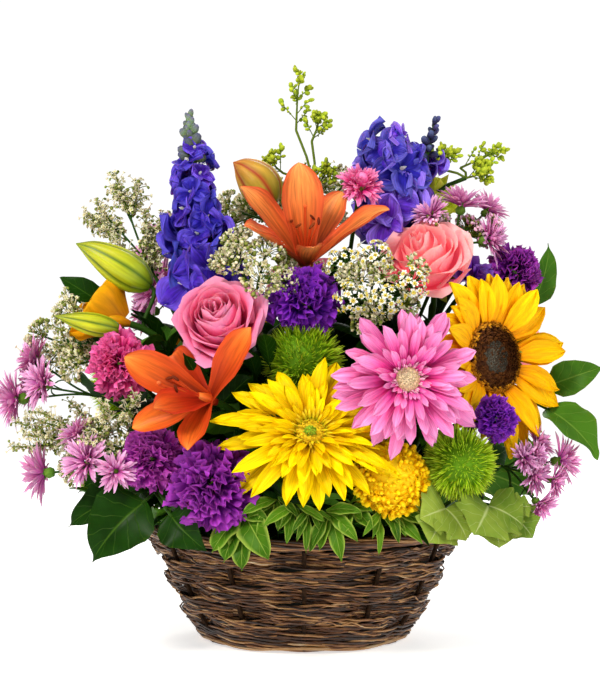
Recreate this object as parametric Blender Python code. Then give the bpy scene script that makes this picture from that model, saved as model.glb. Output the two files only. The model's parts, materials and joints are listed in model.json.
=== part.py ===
"""Flower basket arrangement: cut flowers and foliage set in floral foam inside a lined willow basket.

Metres, +Z up. The origin is the middle of the basket's flat underside and the arrangement faces -Y.
Every cut stem is one closed body with its own flower heads and leaves, pushed into its own hole in the
foam. The plants' sizes and places are written in millimetres and scaled by MM.
"""

import math
from collections import namedtuple

import bmesh
import bpy
from mathutils import Vector

MM = 0.001
GAP = 0.3 * MM

# Basket wall: its outer outline as (height, radius), and the rods that it is woven from.
WALL_OUTLINE = ((0, 72), (4.5, 80), (11, 86.5), (26.5, 96.5), (70.5, 116.5), (86, 121.5))
STAKES = 12
STAKE_RADIUS = 1.8 * MM
BAND_THICKNESS = 4.0 * MM
BAND_CLEARANCE = 0.5 * MM
BAND_WAVE = STAKE_RADIUS + BAND_CLEARANCE + BAND_THICKNESS / 2
WALL_THICKNESS = 2 * (STAKE_RADIUS + BAND_CLEARANCE + BAND_THICKNESS)
BANDS = 5
BAND_STEPS = 4 * STAKES
BASE_THICKNESS = 4.5 * MM
WALL_BOTTOM = 11 * MM
WALL_TOP = 76.5 * MM
BAND_GAP = 0.4 * MM
RIM_HALF_WIDTH = 6.5 * MM
RIM_HALF_HEIGHT = 4.3 * MM
RIM_SIDES = 6
RIM_STEPS = 3 * STAKES
HUB_RADIUS = 9 * MM
HUB_SHARE = 0.8  # of the rods' thickness, so that the hub's faces never touch theirs
STAKE_START = 0.85  # of the hub's radius
STAKE_SIDES = 6
STAKE_BEND_INSET = 3 * MM
SPOKE_HEIGHT = BASE_THICKNESS + GAP + STAKE_RADIUS

# Liner and foam.
LINER_WALL = 1.2 * MM
LINER_BOTTOM = SPOKE_HEIGHT + STAKE_RADIUS + GAP
LINER_TOP = 77 * MM
LINER_KNEES = (14 * MM, 40 * MM)  # heights where its wall changes slope
LINER_FLOOR_INSET = 4 * MM
FOAM_BOTTOM = LINER_BOTTOM + LINER_WALL + GAP
FOAM_OUTLINE = ((64, 0), (72, 20), (82, 55), (86, 76), (83, 92), (72, 104), (52, 112), (27, 116.5))
FOAM_TOP = 118 * MM
TURN_STEPS = 24

# Cut stems: all point away from one spot deep in the foam, so their holes spread without meeting.
FOCUS = Vector((0, 0, 20 * MM))
LOWEST_STEM = math.radians(33)
HOLE_DEPTH = 26 * MM
HOLE_CLEARANCE = 0.35 * MM
HOLE_OVERRUN = 12 * MM
STEM_PULL = 0.45  # how far a stem runs straight out of the foam, as a share of its length
NECK_PULL = 0.28  # how far it runs straight into its head
STEM_SIDES = 5
STEM_STEPS = 3
STALK_RADIUS = 1.1 * MM
NECK_OVERLAP = 5 * MM  # how far a stem runs into the back of its head
THROAT_LENGTH = 20 * MM
MIDDLE = Vector((0, 0, 150 * MM))

# The number of sides tells the kinds of solid apart: each kind's tip is where that many edges meet.
BLOOM_SIDES = 10
SPIKE_SIDES = 9
BLADE_SIDES = 8
CLUSTER_SIDES = 7
LEAF_HALF_THICKNESS = 0.9 * MM

Bloom = namedtuple("Bloom", "centre facing radius back front stem colour")
Lily = namedtuple("Lily", "heart facing petals bud stem colour")
Spike = namedtuple("Spike", "plumes stem colour")
Spray = namedtuple("Spray", "fork heads stem colour")
Foliage = namedtuple("Foliage", "fork leaves face stem colour")

YELLOW = (0.95, 0.70, 0.02)
GOLD = (0.93, 0.45, 0.03)
PINK = (0.88, 0.25, 0.50)
ROSE = (0.85, 0.22, 0.28)
CORAL = (0.90, 0.28, 0.20)
ORANGE = (0.85, 0.25, 0.06)
MAGENTA = (0.62, 0.05, 0.32)
PURPLE = (0.22, 0.04, 0.42)
VIOLET = (0.10, 0.07, 0.50)
MAUVE = (0.60, 0.22, 0.55)
WHITE = (0.85, 0.85, 0.75)
LIME = (0.35, 0.55, 0.05)
LEAF_GREEN = (0.06, 0.20, 0.03)
PALE_GREEN = (0.25, 0.42, 0.10)

# Single heads: the centre of the open face, where it looks, its radius, its depth behind and before that
# centre, and its stem's radius.
BLOOMS = {
    "sunflower": Bloom((134, -86, 211), (0.62, -0.76, 0.12), 48, 18, 8, 3.2, YELLOW),
    "gerbera_pink": Bloom((69, -156, 197), (0.12, -0.99, 0.06), 44, 22, 7, 2.6, PINK),
    "mum_yellow": Bloom((4, -142, 160), (0.0, -0.93, 0.36), 47, 26, 8, 2.8, YELLOW),
    "rose_pink": Bloom((-59, -114, 236), (-0.12, -0.86, 0.50), 30, 32, 16, 2.4, ROSE),
    "rose_coral": Bloom((87, -70, 281), (-0.25, -0.72, 0.64), 30, 32, 16, 2.4, CORAL),
    "green_dianthus_middle": Bloom((-1, -100, 210), (0.0, -0.85, 0.52), 24, 24, 16, 2.2, LIME),
    "green_dianthus_right": Bloom((107, -128, 139), (0.45, -0.84, 0.30), 23, 24, 14, 2.2, LIME),
    "yarrow_yellow": Bloom((59, -134, 129), (0.25, -0.95, 0.16), 22, 24, 12, 2.0, YELLOW),
    "carnation_pink": Bloom((-130, -90, 207), (-0.60, -0.75, 0.28), 20, 24, 12, 2.0, MAGENTA),
    "carnation_magenta": Bloom((-107, -112, 141), (-0.52, -0.80, 0.28), 19, 24, 10, 2.0, MAGENTA),
    "carnation_purple_low": Bloom((-62, -134, 124), (-0.30, -0.93, 0.22), 26, 26, 14, 2.0, PURPLE),
    "carnation_purple_middle": Bloom((-1, -97, 252), (0.0, -0.76, 0.65), 22, 26, 14, 2.0, PURPLE),
    "carnation_purple_right": Bloom((156, -34, 274), (0.70, -0.45, 0.55), 18, 26, 12, 2.0, PURPLE),
    "carnation_violet_small": Bloom((132, -124, 169), (0.50, -0.85, 0.10), 13, 20, 8, 1.8, PURPLE),
    "cornflower_pink": Bloom((41, -54, 336), (0.1, -0.74, 0.66), 14, 18, 8, 1.6, MAGENTA),
    "lisianthus_violet": Bloom((124, -46, 266), (0.5, -0.66, 0.55), 13, 20, 8, 1.8, PURPLE),
    "lime_hydrangea": Bloom((98, 6, 332), (0.35, -0.55, 0.76), 11, 16, 7, 1.8, LIME),
    "sunflower_back": Bloom((-66, 124, 205), (-0.42, 0.86, 0.28), 44, 18, 8, 3.2, YELLOW),
    "gerbera_back": Bloom((74, 122, 214), (0.42, 0.86, 0.28), 42, 20, 7, 2.6, PINK),
    "rose_back": Bloom((2, 104, 268), (0.0, 0.72, 0.69), 28, 30, 16, 2.4, CORAL),
    "rose_right": Bloom((158, 28, 222), (0.90, 0.16, 0.40), 28, 30, 16, 2.4, ROSE),
    "carnation_back": Bloom((102, 58, 290), (0.58, 0.45, 0.68), 23, 26, 12, 2.0, PURPLE),
    "green_dianthus_back": Bloom((-140, 52, 190), (-0.86, 0.36, 0.36), 26, 24, 14, 2.2, LIME),
}

# Lilies: the heart, where it looks and, for each petal, its tip, its half width and how far its middle
# bows outwards. A bud on the same stem is (x, y, z, radius) from its stalk to its tip.
LILIES = {
    "lily_orange_top": Lily(
        (1, -64, 268),
        (0.0, -0.50, 0.86),
        (
            (-46, -70, 334, 12, 9),
            (-4, -84, 350, 14, 6),
            (28, -52, 332, 12, 6),
            (60, -92, 316, 12, 12),
            (-42, -108, 303, 12, 8),
            (6, -104, 288, 9, 8),
        ),
        (
            (-6, -52, 296, 2),
            (-22, -20, 326, 10),
            (-34, -19, 342, 13),
            (-45, -20, 352, 8),
            (-53, -20, 357, 0),
        ),
        2.6,
        ORANGE,
    ),
    "lily_orange_low": Lily(
        (-60, -116, 176),
        (-0.30, -0.90, 0.30),
        (
            (-122, -142, 212, 14, 9),
            (-91, -118, 214, 12, 8),
            (-36, -142, 232, 12, 10),
            (-100, -168, 178, 12, 8),
            (-118, -130, 163, 11, 10),
            (-78, -164, 150, 11, 8),
        ),
        (),
        2.6,
        ORANGE,
    ),
    "lily_gold_left": Lily(
        (-112, -50, 226),
        (-0.66, -0.55, 0.50),
        (
            (-154, -64, 254, 15, 6),
            (-128, -68, 264, 14, 6),
            (-170, -56, 230, 10, 6),
            (-142, -78, 236, 11, 5),
        ),
        (
            (-104, -44, 242, 2),
            (-112, -50, 263, 9),
            (-132, -52, 276, 11.5),
            (-152, -54, 288, 7),
            (-166, -55, 294, 0),
        ),
        2.6,
        GOLD,
    ),
}

# Spikes, buds and plumes: (x, y, z, radius) from the lower end of each to its tip.
SPIKES = {
    "delphinium_left": Spike(
        (
            (
                (-70, -66, 256, 12),
                (-73, -60, 281, 26),
                (-77, -53, 315, 24),
                (-80, -46, 345, 15),
                (-84, -38, 372, 7),
                (-85, -36, 390, 0),
            ),
        ),
        2.8,
        VIOLET,
    ),
    "delphinium_right": Spike(
        (
            (
                (64, -30, 300, 10),
                (66, -28, 318, 23),
                (65, -26, 345, 21),
                (63, -24, 368, 10),
                (62, -22, 386, 0),
            ),
            ((87, -17, 318, 2), (91, -21, 356, 3), (95, -23, 376, 6), (98, -25, 387, 0)),
        ),
        2.8,
        VIOLET,
    ),
    "solidago_top": Spike(
        (
            ((-5, 16, 352, 2), (-6, 12, 385, 5), (-5, 11, 408, 6), (-3, 10, 429, 0)),
            ((-5, 14, 362, 1.5), (6, 8, 376, 5), (10, 6, 386, 5), (12, 5, 393, 0)),
            ((-5, 16, 345, 1.5), (-16, 10, 352, 5), (-22, 8, 357, 5), (-26, 6, 362, 0)),
            ((-4, 16, 335, 1.5), (8, 6, 340, 5), (14, 2, 347, 5), (18, 0, 353, 0)),
        ),
        1.6,
        LIME,
    ),
    "solidago_right": Spike(
        (
            ((105, -6, 342, 2), (118, -8, 354, 5), (134, -10, 361, 5), (148, -10, 367, 0)),
            ((109, -6, 341, 1.5), (122, -12, 346, 4), (130, -14, 348, 4), (137, -16, 351, 0)),
            ((107, -7, 344, 1.5), (105, -14, 352, 4), (105, -16, 358, 4), (107, -18, 364, 0)),
        ),
        1.6,
        LIME,
    ),
}

# Sprays: where the stem forks, and each small head as (x, y, z, radius).
SPRAYS = {
    "white_lace": Spray(
        (-34, -74, 250),
        ((-49, -104, 279, 13), (-30, -116, 265, 12), (-27, -94, 287, 12), (-48, -86, 296, 10)),
        1.6,
        WHITE,
    ),
    "white_feverfew": Spray(
        (46, -82, 244),
        (
            (28, -98, 275, 11),
            (50, -106, 280, 11),
            (74, -118, 262, 10),
            (56, -124, 251, 10),
            (34, -120, 252, 10),
        ),
        1.6,
        WHITE,
    ),
    "white_sprig_high": Spray(
        (-112, -14, 272),
        ((-140, -10, 342, 9), (-152, -5, 321, 8), (-118, -16, 312, 9), (-134, -20, 292, 11)),
        1.4,
        WHITE,
    ),
    "white_spray_left": Spray(
        (-140, -52, 208),
        ((-197, -32, 228, 11), (-166, -76, 206, 11), (-176, -38, 246, 10)),
        1.4,
        WHITE,
    ),
    "white_spray_left_low": Spray(
        (-140, -82, 150),
        ((-184, -74, 164, 11), (-199, -66, 147, 11), (-138, -116, 172, 11)),
        1.4,
        WHITE,
    ),
    "aster_left": Spray(
        (-152, -36, 182),
        ((-196, -44, 208, 10), (-198, -30, 190, 10), (-208, -52, 181, 12)),
        1.4,
        MAUVE,
    ),
    "aster_left_low": Spray(
        (-138, -92, 132),
        ((-184, -82, 129, 11), (-150, -112, 139, 10), (-158, -98, 156, 8), (-130, -122, 133, 8)),
        1.4,
        MAUVE,
    ),
    "aster_right_high": Spray(
        (108, -34, 290),
        ((116, -38, 322, 10), (136, -24, 320, 8), (134, -44, 297, 10), (93, -52, 314, 8)),
        1.4,
        MAUVE,
    ),
    "aster_right_low": Spray(
        (140, -80, 134),
        (
            (164, -84, 150, 8),
            (182, -76, 137, 10),
            (160, -96, 129, 8),
            (164, -98, 109, 8),
            (145, -101, 105, 7),
        ),
        1.4,
        MAUVE,
    ),
    "spray_mum_back": Spray(
        (2, 112, 146),
        ((2, 154, 178, 20), (44, 150, 142, 18), (-42, 150, 140, 18)),
        2.0,
        YELLOW,
    ),
    "white_spray_back": Spray(
        (-10, 46, 300),
        (
            (-48, 70, 318, 12),
            (-26, 56, 342, 12),
            (22, 62, 326, 12),
            (34, 36, 348, 12),
            (-62, 40, 330, 10),
        ),
        1.6,
        WHITE,
    ),
    "aster_back": Spray(
        (-92, 62, 252),
        ((-112, 82, 268, 12), (-122, 44, 282, 12), (-84, 92, 284, 12), (-100, 52, 308, 12)),
        1.6,
        MAUVE,
    ),
}

# Foliage: where the stem forks, each leaf as its blade's base, its tip and its half width, and where the
# leaves look.
FOLIAGE = {
    "salal_left": Foliage(
        (-104, -98, 118),
        (
            ((-124, -102, 116), (-166, -96, 92), 14),
            ((-110, -118, 112), (-146, -122, 70), 22),
            ((-92, -128, 104), (-66, -140, 80), 15),
        ),
        (-0.35, -0.85, 0.4),
        2.0,
        LEAF_GREEN,
    ),
    "salal_left_high": Foliage(
        (-122, -30, 216),
        (
            ((-148, -40, 250), (-180, -42, 270), 9),
            ((-144, -50, 184), (-168, -50, 204), 9),
            ((-142, -8, 214), (-184, 4, 224), 14),
        ),
        (-0.45, -0.75, 0.5),
        1.8,
        LEAF_GREEN,
    ),
    "salal_right": Foliage(
        (148, -46, 184),
        (
            ((176, -60, 174), (209, -82, 138), 18),
            ((180, -38, 190), (219, -46, 204), 12),
            ((172, -12, 250), (184, -10, 297), 10),
        ),
        (0.3, -0.9, 0.3),
        2.0,
        LEAF_GREEN,
    ),
    "ivy_right": Foliage(
        (104, -104, 114),
        (
            ((94, -128, 106), (84, -144, 86), 16),
            ((124, -122, 106), (132, -140, 82), 18),
            ((142, -108, 104), (158, -114, 86), 12),
        ),
        (0.25, -0.9, 0.35),
        2.0,
        PALE_GREEN,
    ),
    "foliage_front_left": Foliage(
        (-22, -112, 112),
        (
            ((-40, -132, 104), (-42, -150, 68), 16),
            ((-20, -134, 112), (-32, -154, 92), 7),
            ((-8, -136, 108), (-12, -152, 86), 6),
            ((2, -134, 106), (1, -150, 80), 5),
        ),
        (-0.1, -0.9, 0.4),
        2.0,
        LEAF_GREEN,
    ),
    "foliage_front_right": Foliage(
        (34, -112, 108),
        (
            ((18, -134, 104), (25, -152, 74), 9),
            ((34, -134, 108), (46, -150, 96), 8),
            ((50, -130, 104), (50, -148, 78), 5),
            ((60, -124, 104), (80, -140, 85), 7),
        ),
        (0.1, -0.9, 0.4),
        2.0,
        PALE_GREEN,
    ),
    "salal_back_left": Foliage(
        (-92, 84, 128),
        (
            ((-122, 92, 122), (-162, 108, 92), 18),
            ((-132, 52, 124), (-178, 48, 104), 18),
            ((-86, 124, 116), (-88, 156, 80), 18),
            ((-110, 78, 168), (-152, 100, 166), 15),
        ),
        (-0.5, 0.75, 0.45),
        2.0,
        LEAF_GREEN,
    ),
    "salal_back_right": Foliage(
        (94, 84, 128),
        (
            ((124, 92, 122), (164, 106, 90), 18),
            ((134, 46, 122), (180, 40, 102), 18),
            ((84, 124, 116), (84, 158, 82), 18),
            ((126, 78, 168), (166, 92, 176), 15),
            ((140, 20, 140), (186, 4, 128), 16),
        ),
        (0.5, 0.75, 0.45),
        2.0,
        LEAF_GREEN,
    ),
}


def mm(values):
    return Vector(values[:3]) * MM


def along(outline, value, given, wanted):
    """Reads a straight-lined outline: the wanted column where the given one has this value, in metres."""
    value /= MM
    for start, end in zip(outline, outline[1:]):
        if value <= end[given]:
            break
    share = (value - start[given]) / (end[given] - start[given])
    return (start[wanted] + share * (end[wanted] - start[wanted])) * MM


def wall_middle(height):
    return along(WALL_OUTLINE, height, 0, 1) - WALL_THICKNESS / 2


def foam_radius(height):
    return along(FOAM_OUTLINE + ((0, FOAM_TOP / MM),), height, 1, 0)


def bezier(points, count):
    """Evenly stepped points along a cubic curve, without its first one."""
    a, b, c, d = points
    found = []
    for step in range(1, count + 1):
        t = step / count
        found.append(
            a * (1 - t) ** 3 + b * 3 * t * (1 - t) ** 2 + c * 3 * t**2 * (1 - t) + d * t**3
        )
    return found


def sweep(path, sizes, sides, across=None):
    """A closed solid along a path. Each size is a radius, or a half width and half thickness; a last size
    of 0 brings the end to a point. across is the direction that the widths run in."""
    tangents = []
    for index in range(len(path)):
        before = path[max(index - 1, 0)]
        after = path[min(index + 1, len(path) - 1)]
        tangents.append((after - before).normalized())
    side = across or tangents[0].orthogonal()
    mesh = bmesh.new()
    rings = []
    for place, tangent, size in zip(path, tangents, sizes):
        side = (side - tangent * side.dot(tangent)).normalized()
        normal = tangent.cross(side)
        if size == 0:
            rings.append([mesh.verts.new(place)])
            continue
        width, thickness = size if isinstance(size, tuple) else (size, size)
        ring = []
        for step in range(sides):
            turn = math.tau * (step + 0.5) / sides
            corner = side * width * math.cos(turn) + normal * thickness * math.sin(turn)
            ring.append(mesh.verts.new(place + corner))
        rings.append(ring)
    mesh.faces.new(rings[0][::-1])
    if len(rings[-1]) > 1:
        mesh.faces.new(rings[-1])
    for ring, following in zip(rings, rings[1:]):
        for step in range(sides):
            beyond = (step + 1) % sides
            if len(following) == 1:
                mesh.faces.new((ring[step], ring[beyond], following[0]))
            else:
                mesh.faces.new((ring[step], ring[beyond], following[beyond]))
                mesh.faces.new((ring[step], following[beyond], following[step]))
    return mesh


def turned(profile, steps=TURN_STEPS):
    """A solid turned about Z from (radius, height) points that start and end on the axis."""
    mesh = bmesh.new()
    rings = []
    for radius, height in profile:
        turns = [math.tau * step / steps for step in range(steps)] if radius else [0]
        places = [(radius * math.cos(turn), radius * math.sin(turn), height) for turn in turns]
        rings.append([mesh.verts.new(place) for place in places])
    for lower, upper in zip(rings, rings[1:]):
        for step in range(steps):
            beyond = (step + 1) % steps
            if len(lower) == 1:
                mesh.faces.new((lower[0], upper[beyond], upper[step]))
            elif len(upper) == 1:
                mesh.faces.new((lower[step], lower[beyond], upper[0]))
            else:
                mesh.faces.new((lower[step], lower[beyond], upper[beyond], upper[step]))
    return mesh


def ring_of(sections):
    """A closed hoop through sections that each have the same number of corners."""
    mesh = bmesh.new()
    rings = [[mesh.verts.new(corner) for corner in section] for section in sections]
    for ring, following in zip(rings, rings[1:] + rings[:1]):
        for corner in range(len(ring)):
            beyond = (corner + 1) % len(ring)
            mesh.faces.new((ring[corner], following[corner], following[beyond], ring[beyond]))
    return mesh


def material(name, colour, roughness=0.6):
    made = bpy.data.materials.new(name)
    made.use_nodes = True
    shader = made.node_tree.nodes["Principled BSDF"]
    shader.inputs["Base Color"].default_value = (*colour, 1)
    shader.inputs["Roughness"].default_value = roughness
    return made


def placed(name, mesh, finish, helper=False):
    """Makes an object from a bmesh; a helper stays out of the finished model."""
    bmesh.ops.recalc_face_normals(mesh, faces=mesh.faces)
    data = bpy.data.meshes.new(name)
    mesh.to_mesh(data)
    mesh.free()
    data.materials.append(finish)
    obj = bpy.data.objects.new(name, data)
    bpy.context.scene.collection.objects.link(obj)
    if helper:
        obj.hide_render = True
        obj.display_type = "WIRE"
    else:
        data.shade_smooth()
        data.set_sharp_from_angle(angle=math.radians(40))
    return obj


def united(obj, limbs, operation="UNION"):
    """Joins the limbs to the object, or cuts them from it, with one Boolean modifier."""
    group = bpy.data.collections.new(f"{obj.name}_limbs")
    finish = obj.data.materials[0]
    for number, limb in enumerate(limbs):
        helper = placed(f"{obj.name}_limb_{number}", limb, finish, helper=True)
        group.objects.link(helper)
    boolean = obj.modifiers.new(operation.title(), "BOOLEAN")
    boolean.operation = operation
    boolean.operand_type = "COLLECTION"
    boolean.collection = group
    boolean.solver = "EXACT"
    return obj


# ---------------------------------------------------------------- basket


def make_base(finish):
    """The flat bottom that the basket stands on, with a rounded edge."""
    foot = WALL_OUTLINE[0][1] * MM
    edge = WALL_OUTLINE[1][1] * MM
    bulge = (foot + 0.7 * (edge - foot), 0.35 * BASE_THICKNESS)
    profile = ((0, 0), (foot, 0), bulge, (edge, BASE_THICKNESS), (0, BASE_THICKNESS))
    return placed("basket_base", turned(profile), finish)


def stake_path(turn):
    """From the middle of the base out along it and up the wall, through the bands' own heights."""
    outward = Vector((math.cos(turn), math.sin(turn), 0))
    bend = wall_middle(WALL_BOTTOM) - STAKE_BEND_INSET
    path = [outward * HUB_RADIUS * STAKE_START, outward * bend * 0.6, outward * bend]
    path = [point + Vector((0, 0, SPOKE_HEIGHT)) for point in path]
    for band in range(BANDS + 1):
        height = WALL_BOTTOM + (WALL_TOP - WALL_BOTTOM) * band / BANDS
        path.append(outward * wall_middle(height) + Vector((0, 0, height)))
    return path


def make_stakes(finish):
    """The upright rods, bent under the liner and bound into one cross at the middle of the base."""
    rods = []
    for number in range(STAKES):
        path = stake_path(math.tau * number / STAKES)
        sizes = [STAKE_RADIUS] * len(path)
        rods.append(sweep(path, sizes, STAKE_SIDES, Vector((0, 0, 1)).cross(path[1])))
    low = SPOKE_HEIGHT - HUB_SHARE * STAKE_RADIUS
    high = SPOKE_HEIGHT + HUB_SHARE * STAKE_RADIUS
    hub = turned(((0, low), (HUB_RADIUS, low), (HUB_RADIUS, high), (0, high)), STAKES)
    return united(placed("basket_stakes", hub, finish), rods)


def make_band(number, finish):
    """One hoop of weavers, passing outside every other stake and inside the ones between."""
    pitch = (WALL_TOP - WALL_BOTTOM) / BANDS
    low = WALL_BOTTOM + number * pitch
    high = low + pitch - BAND_GAP
    sections = []
    for step in range(BAND_STEPS):
        turn = math.tau * step / BAND_STEPS
        wave = BAND_WAVE * math.cos(turn * STAKES / 2 + math.pi * number)
        corners = []
        for height, face in ((low, -1), (low, 1), (high, 1), (high, -1)):
            radius = wall_middle(height) + wave + face * BAND_THICKNESS / 2
            corners.append((radius * math.cos(turn), radius * math.sin(turn), height))
        sections.append(corners)
    return placed(f"basket_weave_{number + 1}", ring_of(sections), finish)


def make_rim(finish):
    """The thick plaited border that closes the wall above the stakes."""
    height = WALL_TOP + BAND_CLEARANCE + RIM_HALF_HEIGHT
    sections = []
    for step in range(RIM_STEPS):
        turn = math.tau * step / RIM_STEPS
        corners = []
        for corner in range(RIM_SIDES):
            lean = math.tau * corner / RIM_SIDES
            radius = wall_middle(height) + RIM_HALF_WIDTH * math.cos(lean)
            rise = RIM_HALF_HEIGHT * math.sin(lean)
            corners.append((radius * math.cos(turn), radius * math.sin(turn), height + rise))
        sections.append(corners)
    return placed("basket_rim", ring_of(sections), finish)


def liner_radius(height):
    return wall_middle(max(height, WALL_BOTTOM)) - BAND_WAVE - BAND_THICKNESS / 2 - BAND_CLEARANCE


def make_liner(finish):
    """The waterproof bowl that holds the foam's water, open at the top."""
    floor = LINER_BOTTOM + LINER_WALL
    foot = liner_radius(LINER_BOTTOM) - LINER_FLOOR_INSET
    heights = (*LINER_KNEES, LINER_TOP)
    outside = [(0, LINER_BOTTOM), (foot, LINER_BOTTOM)]
    outside += [(liner_radius(height), height) for height in heights]
    inside = [(liner_radius(height) - LINER_WALL, height) for height in heights[::-1]]
    inside += [(foot - LINER_WALL - GAP, floor), (0, floor)]
    return placed("liner", turned(outside + inside), finish)


def make_foam(finish, holes):
    """The block of floral foam, with a hole for every stem."""
    profile = [(0, FOAM_BOTTOM), (FOAM_OUTLINE[0][0] * MM, FOAM_BOTTOM)]
    profile += [(radius * MM, height * MM) for radius, height in FOAM_OUTLINE[1:]]
    profile.append((0, FOAM_TOP))
    foam = placed("floral_foam", turned(profile), finish)
    return united(foam, holes, "DIFFERENCE")


# ---------------------------------------------------------------- plants


def stem_line(target):
    """The straight part of a stem that aims at the target: (inner end, foam surface, direction)."""
    aim = target - FOCUS
    flat = math.hypot(aim.x, aim.y)
    if math.atan2(aim.z, flat) < LOWEST_STEM:
        aim.z = flat * math.tan(LOWEST_STEM)
    aim.normalize()
    near, far = 20 * MM, 150 * MM
    while far - near > 0.01 * MM:
        reach = (near + far) / 2
        point = FOCUS + aim * reach
        inside = point.z < FOAM_TOP and math.hypot(point.x, point.y) < foam_radius(point.z)
        near, far = (reach, far) if inside else (near, reach)
    return FOCUS + aim * (near - HOLE_DEPTH), FOCUS + aim * near, aim


def stem_to(neck, facing, radius, holes):
    """A stem from its hole in the foam to the neck of a head, which it reaches along the head's facing.
    Its hole's cutter is added to holes."""
    end, mouth, aim = stem_line(neck)
    length = (neck - mouth).length
    curve = (mouth, mouth + aim * length * STEM_PULL, neck - facing * length * NECK_PULL, neck)
    path = [end, mouth] + bezier(curve, STEM_STEPS)
    holes.append(
        sweep(
            [end - aim * HOLE_CLEARANCE, mouth + aim * HOLE_OVERRUN],
            [radius + HOLE_CLEARANCE * 1.3] * 2,
            STEM_SIDES,
            aim.orthogonal(),
        )
    )
    return sweep(path, [radius] * len(path), STEM_SIDES, aim.orthogonal())


def head(centre, facing, radius, back, front):
    """A domed round head: its face looks along facing and ends in a point at the middle."""
    stations = ((-back, 0.30), (-0.45 * back, 0.80), (0, 1), (0.62 * front, 0.70), (front, 0))
    path = [centre + facing * depth for depth, _ in stations]
    return sweep(path, [radius * share for _, share in stations], BLOOM_SIDES)


def cluster(place, facing, radius):
    """A small head or a bunch of small florets at the end of a stalk."""
    path = [place - facing * radius * 0.9, place, place + facing * radius * 0.6]
    return sweep(path, [radius * 0.45, radius, 0], CLUSTER_SIDES)


def stalk(start, neck, radius=STALK_RADIUS):
    return sweep([start, neck], [radius] * 2, STEM_SIDES)


def petal(heart, tip, half_width, bow, facing):
    """A strap-shaped petal that leaves the heart along facing and curls back to its tip."""
    span = tip - heart
    outward = (span - facing * span.dot(facing)).normalized()
    across = span.cross(outward + facing * 0.2).normalized()
    lift = (facing - outward * 0.4) * bow * MM
    path = [heart - facing * 4 * MM]
    for share, rise in ((0.30, 0.6), (0.62, 1.0), (0.88, 0.55)):
        path.append(heart.lerp(tip, share) + lift * rise)
    path.append(tip)
    width = half_width * MM
    sizes = [(3 * MM, 2 * MM), (0.6 * width, 1.2 * MM), (width, 1.1 * MM), (0.55 * width, 1.0 * MM), 0]
    return sweep(path, sizes, BLADE_SIDES, across)


def leaf(fork, base, tip, half_width, face):
    """A leaf with its stalk, its upper side looking along face and arched that way."""
    outward = (face + (base.lerp(tip, 0.5) - MIDDLE).normalized() * 0.5).normalized()
    across = (tip - base).cross(outward).normalized()
    arch = outward * (tip - base).length * 0.12
    path = [fork, base]
    for share, rise in ((0.24, 0.75), (0.5, 1.0), (0.8, 0.7)):
        path.append(base.lerp(tip, share) + arch * rise)
    path.append(tip)
    width = half_width * MM
    shares = (0.8, 1.0, 0.58)
    blade = [(share * width, LEAF_HALF_THICKNESS) for share in shares]
    return sweep(path, [STALK_RADIUS, (1.4 * MM, 1.1 * MM), *blade, 0], BLADE_SIDES, across)


def plume(points):
    """A spike of florets or a bud, through (x, y, z, radius) points that end in its tip."""
    return sweep([mm(point) for point in points], [point[3] * MM for point in points], SPIKE_SIDES)


def make_bloom(name, plant, finish, holes):
    centre = mm(plant.centre)
    facing = Vector(plant.facing).normalized()
    neck = centre - facing * (plant.back * MM - NECK_OVERLAP)
    stem = stem_to(neck, facing, plant.stem * MM, holes)
    body = head(centre, facing, plant.radius * MM, plant.back * MM, plant.front * MM)
    return united(placed(name, body, finish), [stem])


def make_lily(name, plant, finish, holes):
    heart = mm(plant.heart)
    facing = Vector(plant.facing).normalized()
    neck = heart - facing * THROAT_LENGTH
    stem = stem_to(neck + facing * 3 * MM, facing, plant.stem * MM, holes)
    throat = sweep([neck, heart - facing * 8 * MM, heart], [3.2 * MM, 6 * MM, 5 * MM], STEM_SIDES + 1)
    limbs = [stem] + [petal(heart, mm(spec), spec[3], spec[4], facing) for spec in plant.petals]
    if plant.bud:
        limbs.append(plume(plant.bud))
        limbs.append(stalk(heart - facing * 14 * MM, mm(plant.bud[0])))
    return united(placed(name, throat, finish), limbs)


def make_spike(name, plant, finish, holes):
    plumes = [plume(points) for points in plant.plumes]
    first, second = (mm(point) for point in plant.plumes[0][:2])
    facing = (second - first).normalized()
    stem = stem_to(first + facing * 4 * MM, facing, plant.stem * MM, holes)
    return united(placed(name, plumes[0], finish), [stem, *plumes[1:]])


def make_spray(name, plant, finish, holes):
    fork = mm(plant.fork)
    heads = [mm(spec) for spec in plant.heads]
    facing = (sum(heads, Vector()) / len(heads) - fork).normalized()
    limbs = []
    for place, spec in zip(heads, plant.heads):
        radius = spec[3] * MM
        outward = (place - fork).normalized()
        limbs.append(cluster(place, outward, radius))
        limbs.append(stalk(fork - outward * MM, place - outward * radius * 0.6))
    stem = stem_to(fork + facing * MM, facing, plant.stem * MM, holes)
    return united(placed(name, stem, finish), limbs)


def make_foliage(name, plant, finish, holes):
    fork = mm(plant.fork)
    limbs = []
    middle = Vector()
    for base, tip, half_width in plant.leaves:
        limbs.append(leaf(fork, mm(base), mm(tip), half_width, Vector(plant.face)))
        middle += mm(base) / len(plant.leaves)
    facing = (middle - fork).normalized()
    stem = stem_to(fork + facing * MM, facing, plant.stem * MM, holes)
    return united(placed(name, stem, finish), limbs)


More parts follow.
